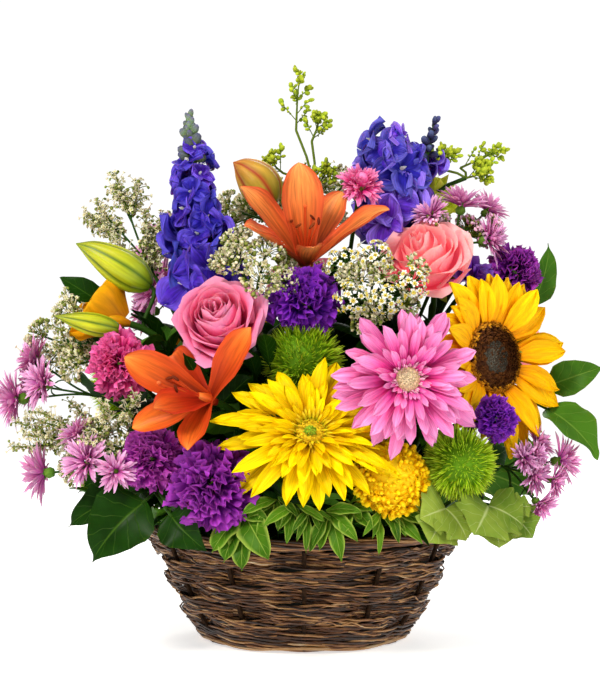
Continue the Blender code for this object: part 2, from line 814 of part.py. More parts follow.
def main():
    for obj in list(bpy.data.objects):
        bpy.data.objects.remove(obj)
    willow = material("willow", (0.10, 0.055, 0.035), 0.7)
    make_base(willow)
    make_stakes(willow)
    for number in range(BANDS):
        make_band(number, willow)
    make_rim(willow)
    make_liner(material("liner_plastic", (0.03, 0.06, 0.03), 0.4))
    holes = []
    for table, make in (
        (BLOOMS, make_bloom),
        (LILIES, make_lily),
        (SPIKES, make_spike),
        (SPRAYS, make_spray),
        (FOLIAGE, make_foliage),
    ):
        for name, plant in table.items():
            make(name, plant, material(name, plant.colour), holes)
    make_foam(material("foam", (0.03, 0.12, 0.04), 0.95), holes)


main()
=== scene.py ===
# %% [markdown]
# # A basket of cut flowers
#
# The real object is a low willow basket with a waterproof liner, a block of floral foam and about fifty cut
# stems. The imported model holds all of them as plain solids. This script keeps their places and gives them
# their looks: woven willow, petals, leaves and florets.
#
# Start with the fixed frame. Everything below is in metres, and every place is read from it.

import json
import math
from functools import partial, reduce

import bmesh
import bpy
import numpy as np
from mathutils import Matrix, Vector

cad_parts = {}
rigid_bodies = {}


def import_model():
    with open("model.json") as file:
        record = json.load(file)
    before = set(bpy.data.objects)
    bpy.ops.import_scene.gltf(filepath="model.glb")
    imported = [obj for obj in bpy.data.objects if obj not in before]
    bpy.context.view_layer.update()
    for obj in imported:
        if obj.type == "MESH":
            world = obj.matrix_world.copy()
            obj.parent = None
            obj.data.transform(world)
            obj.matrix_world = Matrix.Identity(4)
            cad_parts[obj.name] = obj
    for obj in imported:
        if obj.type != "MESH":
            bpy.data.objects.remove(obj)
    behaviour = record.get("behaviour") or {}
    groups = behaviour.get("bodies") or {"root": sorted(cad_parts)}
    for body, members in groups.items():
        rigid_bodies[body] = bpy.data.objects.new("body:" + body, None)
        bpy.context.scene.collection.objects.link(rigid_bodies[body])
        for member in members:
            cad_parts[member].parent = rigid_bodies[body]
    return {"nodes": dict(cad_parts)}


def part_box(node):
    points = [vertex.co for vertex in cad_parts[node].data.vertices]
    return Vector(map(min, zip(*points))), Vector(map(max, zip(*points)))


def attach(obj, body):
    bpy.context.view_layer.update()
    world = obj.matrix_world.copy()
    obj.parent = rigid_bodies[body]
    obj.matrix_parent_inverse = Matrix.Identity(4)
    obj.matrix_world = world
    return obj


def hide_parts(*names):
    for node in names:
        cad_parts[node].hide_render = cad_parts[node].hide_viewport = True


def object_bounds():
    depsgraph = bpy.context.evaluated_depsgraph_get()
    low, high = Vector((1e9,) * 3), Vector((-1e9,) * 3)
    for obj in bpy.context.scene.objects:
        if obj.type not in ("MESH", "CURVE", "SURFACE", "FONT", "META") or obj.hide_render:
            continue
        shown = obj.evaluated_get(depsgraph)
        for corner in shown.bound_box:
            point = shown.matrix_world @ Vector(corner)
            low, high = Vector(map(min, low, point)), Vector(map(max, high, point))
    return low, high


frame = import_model()
CAD_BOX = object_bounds()
nodes = frame["nodes"]
scene = bpy.context.scene
MM = 0.001
GOLDEN = math.pi * (3 - math.sqrt(5))
UP = Vector((0, 0, 1))
pieces = {}
print(len(nodes), "nodes in a box", [round(side / MM) for side in CAD_BOX[1] - CAD_BOX[0]], "mm")

# %% [markdown]
# ## Where the heads and leaves are
#
# Each cut stem is one closed solid, but its limbs can still be told apart. A limb was swept along a path and
# drawn to a point, so its tip is a vertex where all its sides meet: ten on a round head, nine on a spike or a
# bud, eight on a leaf or a lily's petal, seven on a small head. From a tip, ring after ring of that many
# vertices leads back to the stem. The rings give a limb's centre line, its width and which way it looks, so no
# place has to be written down twice.

# %% Read the limbs of a stem
HEAD, SPIKE, BLADE, CLUSTER = 10, 9, 8, 7
MERGE = 0.002 * MM


class Limb:
    """One head, spike, leaf or petal: its rings run from the tip back to the stem."""

    def __init__(self, sides, rings):
        self.sides, self.rings = sides, rings
        self.tip = Vector(rings[0][0])
        self.centres = [Vector(ring.mean(axis=0)) for ring in rings]

    def spread(self, ring):
        return self.rings[ring] - self.rings[ring].mean(axis=0)

    def radius(self, ring):
        return float(np.linalg.norm(self.spread(ring), axis=1).mean())

    def facing(self):
        return (self.tip - self.centres[min(2, len(self.centres) - 1)]).normalized()

    def across(self, ring):
        """The direction in which this ring is widest, and its half width."""
        direction = np.linalg.svd(self.spread(ring))[2][0]
        half = np.abs(self.spread(ring) @ direction).max()
        return Vector(direction), float(half / math.cos(math.pi / self.sides))


def limbs_of(node):
    """The limbs of a CAD node, and the points of its mesh that belong to none of them."""
    mesh = bmesh.new()
    mesh.from_mesh(nodes[node].data)
    bmesh.ops.remove_doubles(mesh, verts=mesh.verts, dist=MERGE)
    near = {vert: {edge.other_vert(vert) for edge in vert.link_edges} for vert in mesh.verts}
    found, used = [], set()
    for vert in mesh.verts:
        ring = near[vert]
        if not CLUSTER <= len(ring) <= HEAD or any(len(near[other]) != 5 for other in ring):
            continue
        rings, seen = [{vert}, ring], {vert} | ring
        while True:
            following = set().union(*(near[other] for other in rings[-1])) - seen
            if len(following) != len(ring) or any(len(near[other] & following) != 2 for other in following):
                break
            rings.append(following)
            seen |= following
        used |= seen
        found.append(Limb(len(ring), [np.array([other.co for other in each]) for each in rings]))
    loose = np.array([vert.co for vert in mesh.verts if vert not in used])
    mesh.free()
    return sorted(found, key=lambda limb: (limb.sides, *limb.tip)), loose


plants = {name: found for name, found in ((name, limbs_of(name)) for name in nodes) if found[0]}
for name, (limbs, _) in plants.items():
    print(name, [(limb.sides, len(limb.rings)) for limb in limbs])

# %% [markdown]
# ## Small helpers
#
# Petals and leaves are the same thing to a modeller: a bent sheet, thickest in the middle and thin at its edge.
# A bare plane would vanish edge-on and has no inside, so every sheet here is a closed skin around a grid of
# points. The grid also gives a UV map that runs up the petal, which its veins and its colours follow later.

# %% Add a node, make a skin, join pieces
def add_node(tree, kind, *values, **settings):
    """Add one node and return its first output. Kind is its type without the prefix, and may end with its
    operation, as in Math.ADD. Values fill its inputs in order. A capitalised setting is an input, with _ for a
    space; any other is one of the node's own properties."""
    kind, _, operation = kind.partition(".")
    made = tree.nodes.new(next(prefix + kind for prefix in ("ShaderNode", "GeometryNode", "FunctionNode", "Node")
                               if hasattr(bpy.types, prefix + kind)))
    if operation:
        made.operation = operation
    for key in [key for key in settings if key[0].islower()]:
        setattr(made, key, settings.pop(key))
    sockets = [socket for socket in made.inputs if socket.enabled]
    by_name = {socket.name: socket for socket in sockets}
    given = list(zip(sockets, values)) + [(by_name[key.replace("_", " ")], value) for key, value in settings.items()]
    for socket, value in given:
        if isinstance(value, bpy.types.NodeSocket):
            tree.links.new(value, socket)
        else:
            socket.default_value = value
    return next((socket for socket in made.outputs if socket.enabled), None)


def mesh_of(name, vertices, faces, uvs):
    """A closed mesh with one UV for each corner of its faces."""
    mesh = bpy.data.meshes.new(name)
    mesh.from_pydata(vertices, [], faces)
    mesh.uv_layers.new(name="UVMap").data.foreach_set("uv", uvs.ravel())
    return closed(mesh)


def skin(name, points, thickness):
    """A closed thin mesh around a grid of points [along, across]. Its face is towards across x along."""
    rows, columns = points.shape[0] - 1, points.shape[1] - 1
    normal = np.cross(np.gradient(points, axis=1), np.gradient(points, axis=0))
    normal /= np.maximum(np.linalg.norm(normal, axis=2, keepdims=True), 1e-12)
    along, across = np.linspace(-1, 1, rows + 1), np.linspace(-1, 1, columns + 1)
    swell = np.outer(1 - along**4, 1 - across**4)[:, :, None] * normal * thickness / 2
    vertices = np.concatenate([(points + swell).reshape(-1, 3), (points - swell).reshape(-1, 3)])
    corner = (np.arange(rows)[:, None] * (columns + 1) + np.arange(columns)).ravel()
    front = np.stack([corner, corner + 1, corner + columns + 2, corner + columns + 1], axis=1)
    faces = np.concatenate([front, front[:, ::-1] + len(vertices) // 2])
    u, v = np.meshgrid((across + 1) / 2, (along + 1) / 2)
    flat = np.tile(np.stack([u.ravel(), v.ravel()], axis=1), (2, 1))
    return mesh_of(name, vertices.tolist(), faces.tolist(), flat[faces.ravel()])


def closed(mesh):
    """Merge the points that meet at the edges and poles, turn the faces outwards and keep the rim crisp."""
    work = bmesh.new()
    work.from_mesh(mesh)
    bmesh.ops.remove_doubles(work, verts=work.verts, dist=MERGE / 2)
    bmesh.ops.recalc_face_normals(work, faces=work.faces)
    for face in work.faces:
        face.smooth = True
    work.to_mesh(mesh)
    work.free()
    mesh.set_sharp_from_angle(angle=math.radians(70))
    return mesh


def shaded(mesh, value, material=None):
    """Give one petal or leaf its finish, and the number that makes its colour its own."""
    numbers = np.full(len(mesh.vertices), value, np.float32)
    mesh.attributes.new("shade", "FLOAT", "POINT").data.foreach_set("value", numbers)
    if material:
        mesh.materials.append(material)
    return mesh


def joined(name, parts):
    """One mesh object from parts, each a mesh or (mesh, matrix), with its own materials and no parent."""
    copies = []
    for part in parts:
        mesh, matrix = part if isinstance(part, tuple) else (part, Matrix())
        copy = mesh.copy()
        copy.transform(matrix)
        if matrix.determinant() < 0:
            copy.flip_normals()
        copies.append(bpy.data.objects.new(name, copy))
        scene.collection.objects.link(copies[-1])
    with bpy.context.temp_override(active_object=copies[0], selected_editable_objects=copies):
        bpy.ops.object.join()
    copies[0].data.name = name
    return copies[0]


def fused(name, meshes):
    """Several meshes as one, for a shape that a tree repeats."""
    work, made = bmesh.new(), bpy.data.meshes.new(name)
    for mesh in meshes:
        work.from_mesh(mesh)
    work.to_mesh(made)
    work.free()
    return made


def ride(piece, node=None):
    """The piece rides on the one body and, if it stands for a CAD node, hides that node. Its triangles are counted."""
    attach(piece, "root")
    if node:
        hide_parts(node)
    pieces[piece.name] = sum(len(face.vertices) - 2 for face in piece.data.polygons)
    return piece


def stand_in(name, parts, node):
    return ride(joined(name, parts), node)


# %% [markdown]
# ## Flowers grow by rule
#
# A sunflower's disc, a daisy's rays and a carnation's ruffles all follow the same rule: each new petal turns by
# a fixed angle and sits a little further out and lower down than the last. One Geometry Nodes tree does this
# for every head. It sets points over a dome, turns a petal outwards at each, and gives each petal a number of
# its own, "shade", so that no two have quite the same colour. With the golden angle the petals pack evenly.
# With a plain share of a circle they make a ring.

# %% The tree that sets petals over a dome
def open_tree(name, **labels):
    """A new tree with one mesh going in and out, and more inputs: their names, by the kind of value."""
    tree = bpy.data.node_groups.new(name, "GeometryNodeTree")
    sockets = [("Geometry", "Geometry", way) for way in ("INPUT", "OUTPUT")]
    sockets += [(kind, label, "INPUT") for kind, names in labels.items() for label in names.split()]
    for kind, label, way in sockets:
        tree.interface.new_socket(name=label, in_out=way, socket_type="NodeSocket" + kind)
    add = partial(add_node, tree)
    return tree, add, add("GroupInput").node.outputs


def end_tree(add, mesh, material):
    add("GroupOutput", add("SetMaterial", add("RealizeInstances", mesh), Material=material))


def grow(tree, material, carrier=None, **values):
    """Run a tree on a carrier mesh with these input values, and return the plain mesh that it makes."""
    obj = bpy.data.objects.new("carrier", carrier or bpy.data.meshes.new("carrier"))
    scene.collection.objects.link(obj)
    modifier = obj.modifiers.new(tree.name, "NODES")
    modifier.node_group = tree
    values["Material"] = material
    for item in tree.interface.items_tree:
        if item.in_out == "INPUT" and item.name in values:
            modifier[item.identifier] = values[item.name]
    graph = bpy.context.evaluated_depsgraph_get()
    mesh = bpy.data.meshes.new_from_object(obj.evaluated_get(graph), preserve_all_data_layers=True, depsgraph=graph)
    bpy.data.objects.remove(obj)
    mesh.materials.clear()
    mesh.materials.append(material)
    return mesh


def ranges(**pairs):
    """First and last values for a tree: Tilt=(a, b) becomes TiltStart=a and TiltEnd=b."""
    return {key + end: float(value) for key, pair in pairs.items() for end, value in zip(("Start", "End"), pair)}


def chance(add, given, salt, spread):
    """A random number from -spread to spread for each petal. The salt keeps one use apart from the next."""
    seed = add("Math.ADD", given["Seed"], float(salt))
    return add("Math.MULTIPLY", add("RandomValue", -1.0, 1.0, Seed=seed, data_type="FLOAT"), spread)


def from_to(add, given, share, name):
    return add("MapRange", share, 0.0, 1.0, given[name + "Start"], given[name + "End"])


def set_petals(add, given, points, turned, share, salt):
    """Give each point a size and a shade, put one of the petal shapes there, and end the tree."""
    size = add("Math.MULTIPLY", from_to(add, given, share, "Size"),
               add("Math.ADD", 1.0, chance(add, given, salt, given["Jitter"])))
    shade = add("Math.ADD", 0.5, chance(add, given, 5, 0.5))
    points = add("StoreNamedAttribute", points, Name="shade", Value=shade, data_type="FLOAT", domain="POINT")
    kinds = add("CollectionInfo", given["Petals"], Separate_Children=True, Reset_Children=True)
    pick = add("Math.ADD", 50.0, chance(add, given, 6, 50.0))
    petals = add("InstanceOnPoints", points, Instance=kinds, Pick_Instance=True, Instance_Index=pick,
                 Rotation=turned, Scale=size)
    end_tree(add, petals, given["Material"])


def make_whorl_tree():
    tree, add, given = open_tree(
        "whorl", Collection="Petals", Int="Count Seed", Material="Material",
        Float="Turn Ease Radius Height Jitter PolarStart PolarEnd TiltStart TiltEnd SizeStart SizeEnd")
    index, jitter = add("InputIndex"), given["Jitter"]
    last = add("Math.MAXIMUM", add("Math.SUBTRACT", given["Count"], 1.0), 1.0)
    share = add("Math.POWER", add("Math.DIVIDE", index, last), given["Ease"])
    angle = add("Math.ADD", add("Math.MULTIPLY", index, given["Turn"]), chance(add, given, 1, jitter))
    fall = from_to(add, given, share, "Polar")
    tilt = add("Math.ADD", from_to(add, given, share, "Tilt"), chance(add, given, 2, jitter))
    out = add("Math.MULTIPLY", add("Math.SINE", fall), given["Radius"])
    place = add("CombineXYZ", add("Math.MULTIPLY", out, add("Math.COSINE", angle)),
                add("Math.MULTIPLY", out, add("Math.SINE", angle)),
                add("Math.MULTIPLY", add("Math.COSINE", fall), given["Height"]))
    turned = add("CombineXYZ", tilt, chance(add, given, 4, add("Math.MULTIPLY", jitter, 1.5)),
                 add("Math.SUBTRACT", angle, math.pi / 2))
    set_petals(add, given, add("Points", given["Count"], place), turned, share, 3)
    return tree


WHORL_TREE = make_whorl_tree()


def pattern(name, *meshes):
    """A collection that holds the few petal shapes a whorl picks from."""
    shapes = bpy.data.collections.new(name)
    for mesh in meshes:
        shapes.objects.link(bpy.data.objects.new(f"{name}_{len(shapes.objects)}", mesh))
    return shapes


def whorl(petals, count, material, radius, height=0.0, polar=(90, 90), tilt=(0, 0), size=(1, 1), turn=GOLDEN,
          ease=1.0, jitter=0.06, seed=1):
    """Petals over a dome: polar angles and tilts in degrees, from the first petal to the last."""
    return grow(WHORL_TREE, material, Petals=petals, Count=count, Turn=turn, Ease=float(ease), Radius=radius,
                Height=float(height), Jitter=jitter, Seed=seed,
                **ranges(Polar=np.radians(polar), Tilt=np.radians(tilt), Size=size))


print("the whorl tree has", len(WHORL_TREE.nodes), "nodes")

# %% [markdown]
# ## A petal
#
# A petal is a strip with an outline, a bend from base to tip, a cup from edge to edge and, on a carnation, a
# ruffled and notched rim. Long rays are creased along their length, which is what catches the light on them.
# It grows from the origin along +Y with its inner face up, which is how the whorl expects it. Real petals
# differ, so each kind is made in a few versions with a different seed.

# %% Make a petal from its outline
BEND_STEPS = 48


def petal(name, length, half_width, outline, bend=(0, 0), cup=0.2, ruffle=0.0, waves=2.5, notch=0.0,
          thickness=0.35 * MM, columns=4, rows=6, twist=0.0, crease=0.0, seed=0):
    """Outline is (share of length, share of half width); bend is the lean at the base and the lean gained, in
    degrees."""
    rng = np.random.default_rng(seed)
    v, u = np.linspace(0, 1, rows + 1)[:, None], np.linspace(-1, 1, columns + 1)[None, :]
    fine = np.linspace(0, 1, BEND_STEPS + 1)
    lean = np.radians(bend[0] + bend[1] * fine)
    run, rise = (np.concatenate([[0], np.cumsum(way(lean[:-1]))]) * length / BEND_STEPS for way in (np.cos, np.sin))
    lean, run, rise = (np.interp(v, fine, each) for each in (lean, run, rise))
    half = half_width * np.interp(v, *zip(*outline))
    wave = ruffle * half_width * v**2 * np.sin(math.pi * waves * u + rng.uniform(0, 2 * math.pi) + 2 * v)
    lift = half * (cup * u**2 + twist * u * v + crease * np.cos(2 * math.pi * u)) + wave
    reach = -notch * length * rng.uniform(0, 1, columns + 1) * v**4
    return skin(name, np.stack([half * u, run - np.sin(lean) * lift + np.cos(lean) * reach,
                                rise + np.cos(lean) * lift + np.sin(lean) * reach], axis=2), thickness)


def petals(name, versions, roll=0, **shape):
    """Versions of a petal. Roll turns each by this many degrees more about its length, so that rims run every
    way."""
    made = [petal(f"{name}_{seed}", seed=seed, **shape) for seed in range(versions)]
    for i, mesh in enumerate(made):
        mesh.transform(Matrix.Rotation(math.radians(roll * (i - (versions - 1) / 2)), 4, "Y"))
    return pattern(name, *made)


RAY = ((0, 0.35), (0.15, 0.62), (0.4, 1.0), (0.65, 0.92), (0.85, 0.55), (0.95, 0.25), (1, 0.02))
LONG_RAY = ((0, 0.4), (0.2, 0.66), (0.5, 1.0), (0.72, 0.95), (0.88, 0.6), (0.96, 0.28), (1, 0.03))
BLUNT_RAY = ((0, 0.42), (0.2, 0.68), (0.5, 0.96), (0.74, 1.0), (0.89, 0.8), (0.96, 0.5), (1, 0.1))
LOBE = ((0, 0.3), (0.2, 0.62), (0.42, 0.94), (0.6, 1.0), (0.76, 0.82), (0.9, 0.48), (1, 0.06))
ROUND_RAY = ((0, 0.3), (0.2, 0.6), (0.5, 0.95), (0.75, 1.0), (0.9, 0.75), (1, 0.12))
NARROW = ((0, 0.5), (0.3, 0.85), (0.7, 1.0), (0.9, 0.7), (1, 0.15))
FAN = ((0, 0.12), (0.3, 0.35), (0.6, 0.7), (0.85, 1.0), (1, 0.96))
FLORET = ((0, 0.35), (0.35, 0.8), (0.7, 1.0), (0.9, 0.75), (1, 0.15))


def star(name, radius, tips=5, notch=0.55, dome=0.15, thickness=0.25):
    """The smallest flower: a closed star with a few dozen faces. Its v runs from centre to rim."""
    points = 2 * tips
    turn = np.arange(points) * math.pi / tips
    reach = radius * np.where(np.arange(points) % 2, notch, 1.0)
    rim = np.stack([reach * np.cos(turn), reach * np.sin(turn), np.full(points, dome * radius)], axis=1)
    vertices = np.concatenate([rim, [[0, 0, 0.05 * radius]], [[0, 0, -thickness * radius]]])
    faces = [(i, (i + 1) % points, points) for i in range(points)]
    faces += [((i + 1) % points, i, points + 1) for i in range(points)]
    steps = np.array([[0.5, 1.0]] * points + [[0.5, 0.0], [0.5, 0.5]])
    return mesh_of(name, vertices.tolist(), faces, steps[np.array(faces).ravel()])


def loft(name, centres, radii, sides, ribs=0, depth=0.0):
    """A closed round body along a line of centres, with ribs along it. Its v runs from first to last."""
    centres = [Vector(centre) for centre in centres]
    count, vertices = len(centres), []
    side = (centres[1] - centres[0]).normalized().cross(Vector((0.3, 0.2, 1))).normalized()
    for i, (centre, radius) in enumerate(zip(centres, radii)):
        ahead = (centres[min(i + 1, count - 1)] - centres[max(i - 1, 0)]).normalized()
        side = (side - ahead * side.dot(ahead)).normalized()
        up = ahead.cross(side)
        for j in range(sides):
            turn = 2 * math.pi * j / sides
            reach = radius * (1 - depth * (1 - abs(math.sin(ribs * turn / 2)))) if ribs else radius
            vertices.append(centre + reach * (math.cos(turn) * side + math.sin(turn) * up))
    squares = [(i, j) for i in range(count - 1) for j in range(sides)]
    corners = ((0, 0), (1, 0), (1, 1), (0, 1))
    faces = [tuple((i + di) * sides + (j + dj) % sides for dj, di in corners) for i, j in squares]
    uvs = [(j + dj, i + di) for i, j in squares for dj, di in corners]
    for ring, order in ((0, -1), (count - 1, 1)):
        faces.append(tuple(ring * sides + j for j in range(sides))[::order])
        uvs += [(0, ring)] * sides
    return mesh_of(name, vertices, faces, np.array(uvs, float) / (sides, count - 1))


def knob(name, radius, stretch=1.0, sides=6, rings=3):
    """A bud or bead: a small closed ball with ribs too fine to model. Its v runs from its base to its tip."""
    turns = [math.pi * i / rings for i in range(rings + 1)]
    return loft(name, [(0, radius * stretch * (1 - math.cos(turn)), 0) for turn in turns],
                [radius * math.sin(turn) for turn in turns], sides)


print("one petal has", len(petal("trial", 30 * MM, 8 * MM, RAY).polygons), "faces")

# %% [markdown]
# ## Things that follow a line
#
# Stems, twigs and filaments are round rods along a path, and a delphinium is a path with florets turned round
# it. Both trees start from a chain of points that carries a "thick" value, make it a curve, and build along
# it. The rods get closed ends, because a cut stem is a solid thing.

# %% The rod tree and the spike tree
def swept(add, curve, sides):
    """A closed round skin along each curve, with its UV map: round, then along."""
    along = add("SplineParameter")
    marked = add("StoreNamedAttribute", curve, Name="along", Value=along, data_type="FLOAT", domain="POINT")
    thick = add("InputNamedAttribute", "thick", data_type="FLOAT")
    tube = add("CurveToMesh", marked, add("CurvePrimitiveCircle", sides, Radius=1.0), Scale=thick, Fill_Caps=True)
    return add("SetShadeSmooth", tube)


def make_rod_tree():
    tree, add, given = open_tree("rods", Int="Sides", Material="Material")
    end_tree(add, swept(add, add("MeshToCurve", given["Geometry"]), given["Sides"]), given["Material"])
    return tree


def make_spike_tree():
    tree, add, given = open_tree("spike", Collection="Petals", Int="Count Seed", Material="Material",
                                 Float="Turn Jitter TiltStart TiltEnd SizeStart SizeEnd")
    even = add("ResampleCurve", add("MeshToCurve", given["Geometry"]), Count=given["Count"])
    share, jitter = add("SplineParameter"), given["Jitter"]
    turned = add("CombineXYZ", add("Math.ADD", from_to(add, given, share, "Tilt"), chance(add, given, 2, jitter)),
                 chance(add, given, 3, jitter),
                 add("Math.ADD", add("Math.MULTIPLY", add("InputIndex"), given["Turn"]), chance(add, given, 1, jitter)))
    upright = add("AlignRotationToVector", Vector=add("InputTangent"), axis="Z")
    outward = add("RotateRotation", upright, add("EulerToRotation", turned), rotation_space="LOCAL")
    set_petals(add, given, even, outward, share, 4)
    return tree


ROD_TREE, SPIKE_TREE = make_rod_tree(), make_spike_tree()


def chains(paths):
    """A carrier mesh from (points, radii) paths."""
    carrier = bpy.data.meshes.new("carrier")
    starts = np.cumsum([0] + [len(path) for path, _ in paths])
    edges = [(i, i + 1) for start, end in zip(starts, starts[1:]) for i in range(start, end - 1)]
    carrier.from_pydata([Vector(point) for path, _ in paths for point in path], edges, [])
    thick = np.concatenate([np.broadcast_to(radii, len(path)) for path, radii in paths]).astype(np.float32)
    carrier.attributes.new("thick", "FLOAT", "POINT").data.foreach_set("value", thick)
    return carrier


def rods(paths, material, sides=6):
    return grow(ROD_TREE, material, chains(paths), Sides=sides)


def spike(petals, path, count, material, tilt, size, jitter, seed):
    """Florets turned round a line, from its first point to its last. At tilt 0 they stand straight out."""
    return grow(SPIKE_TREE, material, chains([(path, 1.0)]), Petals=petals, Count=count, Turn=GOLDEN, Jitter=jitter,
                Seed=seed, **ranges(Tilt=np.radians(tilt), Size=size))


def through(knots, count):
    """A Catmull-Rom curve through any number of knots, one row each, with any number of columns."""
    knots = np.array(knots)
    ends = np.concatenate([[2 * knots[0] - knots[1]], knots, [2 * knots[-1] - knots[-2]]])
    where = np.linspace(0, len(knots) - 1, count)
    piece = np.minimum(where.astype(int), len(knots) - 2)
    t = (where - piece)[:, None]
    p, q, r, s = (ends[piece + i] for i in range(4))
    return 0.5 * (2 * q + (r - p) * t + (2 * p - 5 * q + 4 * r - s) * t**2 + (3 * q - p - 3 * r + s) * t**3)


def curve_points(ends, count):
    """Points along the smooth Bezier curve with these four corners, or through a list of another length."""
    if len(ends) != 4:
        return through(ends, count)
    share = np.linspace(0, 1, count)[:, None]
    a, b, c, d = np.array(ends)
    return (1 - share)**3 * a + 3 * share * (1 - share)**2 * b + 3 * share**2 * (1 - share) * c + share**3 * d


print("the spike tree has", len(SPIKE_TREE.nodes), "nodes")

# %% [markdown]
# ## The weave
#
# The wall is woven from thin willow rods in five rounds. Each round is a bundle of rods that runs in front of
# one stake and behind the next, and the round above does the opposite. Real rods aren't even: they wander,
# cross in pairs, swell at their buds and taper. So the tree draws every rod of a round as one closed curve and
# adds those habits to it. It is the tool for the rim and the base too, where the rods roll round each other or
# lie in rings.

# %% The tree that weaves rods round the basket
def make_weave_tree():
    tree, add, given = open_tree(
        "weave", Int="Strands Steps Sides Seed", Material="Material",
        Float="Radius Slope Height Spread Fan Wave WaveUp Waves Phase PhaseStep "
              "Roll Twist RollOut RollUp Wander Thickness")
    total = partial(reduce, partial(add, "Math.ADD"))
    index = add("InputIndex")
    strand = add("Math.FLOOR", add("Math.DIVIDE", index, given["Steps"]))
    step = add("Math.SUBTRACT", index, add("Math.MULTIPLY", strand, given["Steps"]))
    angle = add("Math.MULTIPLY", add("Math.DIVIDE", step, given["Steps"]), 2 * math.pi)
    cosine, sine = add("Math.COSINE", angle), add("Math.SINE", angle)
    most = add("Math.MAXIMUM", add("Math.SUBTRACT", given["Strands"], 1.0), 1.0)
    share = add("Math.SUBTRACT", add("Math.DIVIDE", strand, most), 0.5)
    where = add("CombineXYZ", add("Math.MULTIPLY", cosine, 4.0), add("Math.MULTIPLY", sine, 4.0),
                add("Math.ADD", add("Math.MULTIPLY", strand, 3.7), add("Math.MULTIPLY", given["Seed"], 11.3)))
    noise = add("TexNoise", where, Scale=1.0, Detail=2.0).node.outputs["Color"]
    habit = add("SeparateXYZ", noise).node.outputs
    wander = [add("Math.MULTIPLY", add("Math.SUBTRACT", each, 0.5), given["Wander"]) for each in habit]
    wave = add("Math.COSINE", total([add("Math.MULTIPLY", given["Waves"], angle), given["Phase"],
                                     add("Math.MULTIPLY", strand, given["PhaseStep"])]))
    roll = add("Math.ADD", add("Math.MULTIPLY", strand, given["Roll"]), add("Math.MULTIPLY", given["Twist"], angle))
    rise = total([add("Math.MULTIPLY", share, given["Spread"]),
                  add("Math.MULTIPLY", given["RollUp"], add("Math.COSINE", roll)), wander[0],
                  add("Math.MULTIPLY", given["WaveUp"], wave)])
    out = total([given["Radius"], add("Math.MULTIPLY", given["Slope"], rise), add("Math.MULTIPLY", share, given["Fan"]),
                 add("Math.MULTIPLY", wander[1], 0.5), add("Math.MULTIPLY", given["Wave"], wave),
                 add("Math.MULTIPLY", given["RollOut"], add("Math.SINE", roll))])
    place = add("CombineXYZ", add("Math.MULTIPLY", out, cosine), add("Math.MULTIPLY", out, sine),
                add("Math.ADD", given["Height"], rise))
    swell = add("Math.ADD", 0.75, add("Math.MULTIPLY", habit[2], 0.5))
    points = add("Points", add("Math.MULTIPLY", given["Strands"], given["Steps"]), place)
    for name, value in (("shade", add("RandomValue", ID=strand, Seed=given["Seed"], data_type="FLOAT")),
                        ("run", add("Math.MULTIPLY", angle, given["Radius"])),
                        ("thick", add("Math.MULTIPLY", given["Thickness"], swell))):
        points = add("StoreNamedAttribute", points, Name=name, Value=value, data_type="FLOAT", domain="POINT")
    ring = add("SetSplineCyclic", add("PointsToCurves", points, strand, step), Cyclic=True)
    end_tree(add, swept(add, ring, given["Sides"]), given["Material"])
    return tree


WEAVE_TREE = make_weave_tree()


def weave(strands, steps, radius, height, thickness, **values):
    """A bundle of willow rods in closed rings. What isn't given is zero."""
    values = dict(Waves=6.0, Sides=6, Seed=1) | values
    return grow(WEAVE_TREE, WILLOW, Strands=strands, Steps=steps, Radius=radius, Height=height, Thickness=thickness,
                **values)


print("the weave tree has", len(WEAVE_TREE.nodes), "nodes")

# %% [markdown]
# ## Finishes
#
# Petals, leaves and bark are matte to waxy skins over wet tissue. Their IOR is near 1.4, light passes a little
# way in, and none is metal. What tells them apart is colour that runs from base to tip, veins that run with the
# growth, and the small difference between one petal and the next. So one function makes them all: a ramp along
# v, veins across u as colour and bump, and the "shade" number of each petal.

# %% One finish for grown things
def linear(colour):
    """An sRGB hex colour as the linear RGBA that a shader takes."""
    channels = [int(colour[i:i + 2], 16) / 255 for i in (1, 3, 5)]
    return tuple(c / 12.92 if c <= 0.04045 else ((c + 0.055) / 1.055)**2.4 for c in channels) + (1.0,)


def new_finish(name):
    """A material without nodes, and the function that adds one."""
    made = bpy.data.materials.new(name)
    made.use_nodes = True
    made.node_tree.nodes.clear()
    return made, partial(add_node, made.node_tree)


def ramped(ramp, colours, places):
    """Set the stops of a colour ramp, given its output."""
    stops = ramp.node.color_ramp.elements
    while len(stops) < len(places):
        stops.new(1.0)
    for stop, place, colour in zip(stops, places, colours.split()):
        stop.position, stop.color = place, linear(colour)
    return ramp


def surface(add, colour, height, bump_mm, strength, **values):
    """The shader: a colour, a bump as deep as bump_mm, and plain values for the rest."""
    bump = add("Bump", Height=height, Strength=strength, Distance=bump_mm * MM)
    values = dict(IOR=1.4, Specular_IOR_Level=0.12) | values
    add("OutputMaterial", add("BsdfPrincipled", colour, Normal=bump, **values))


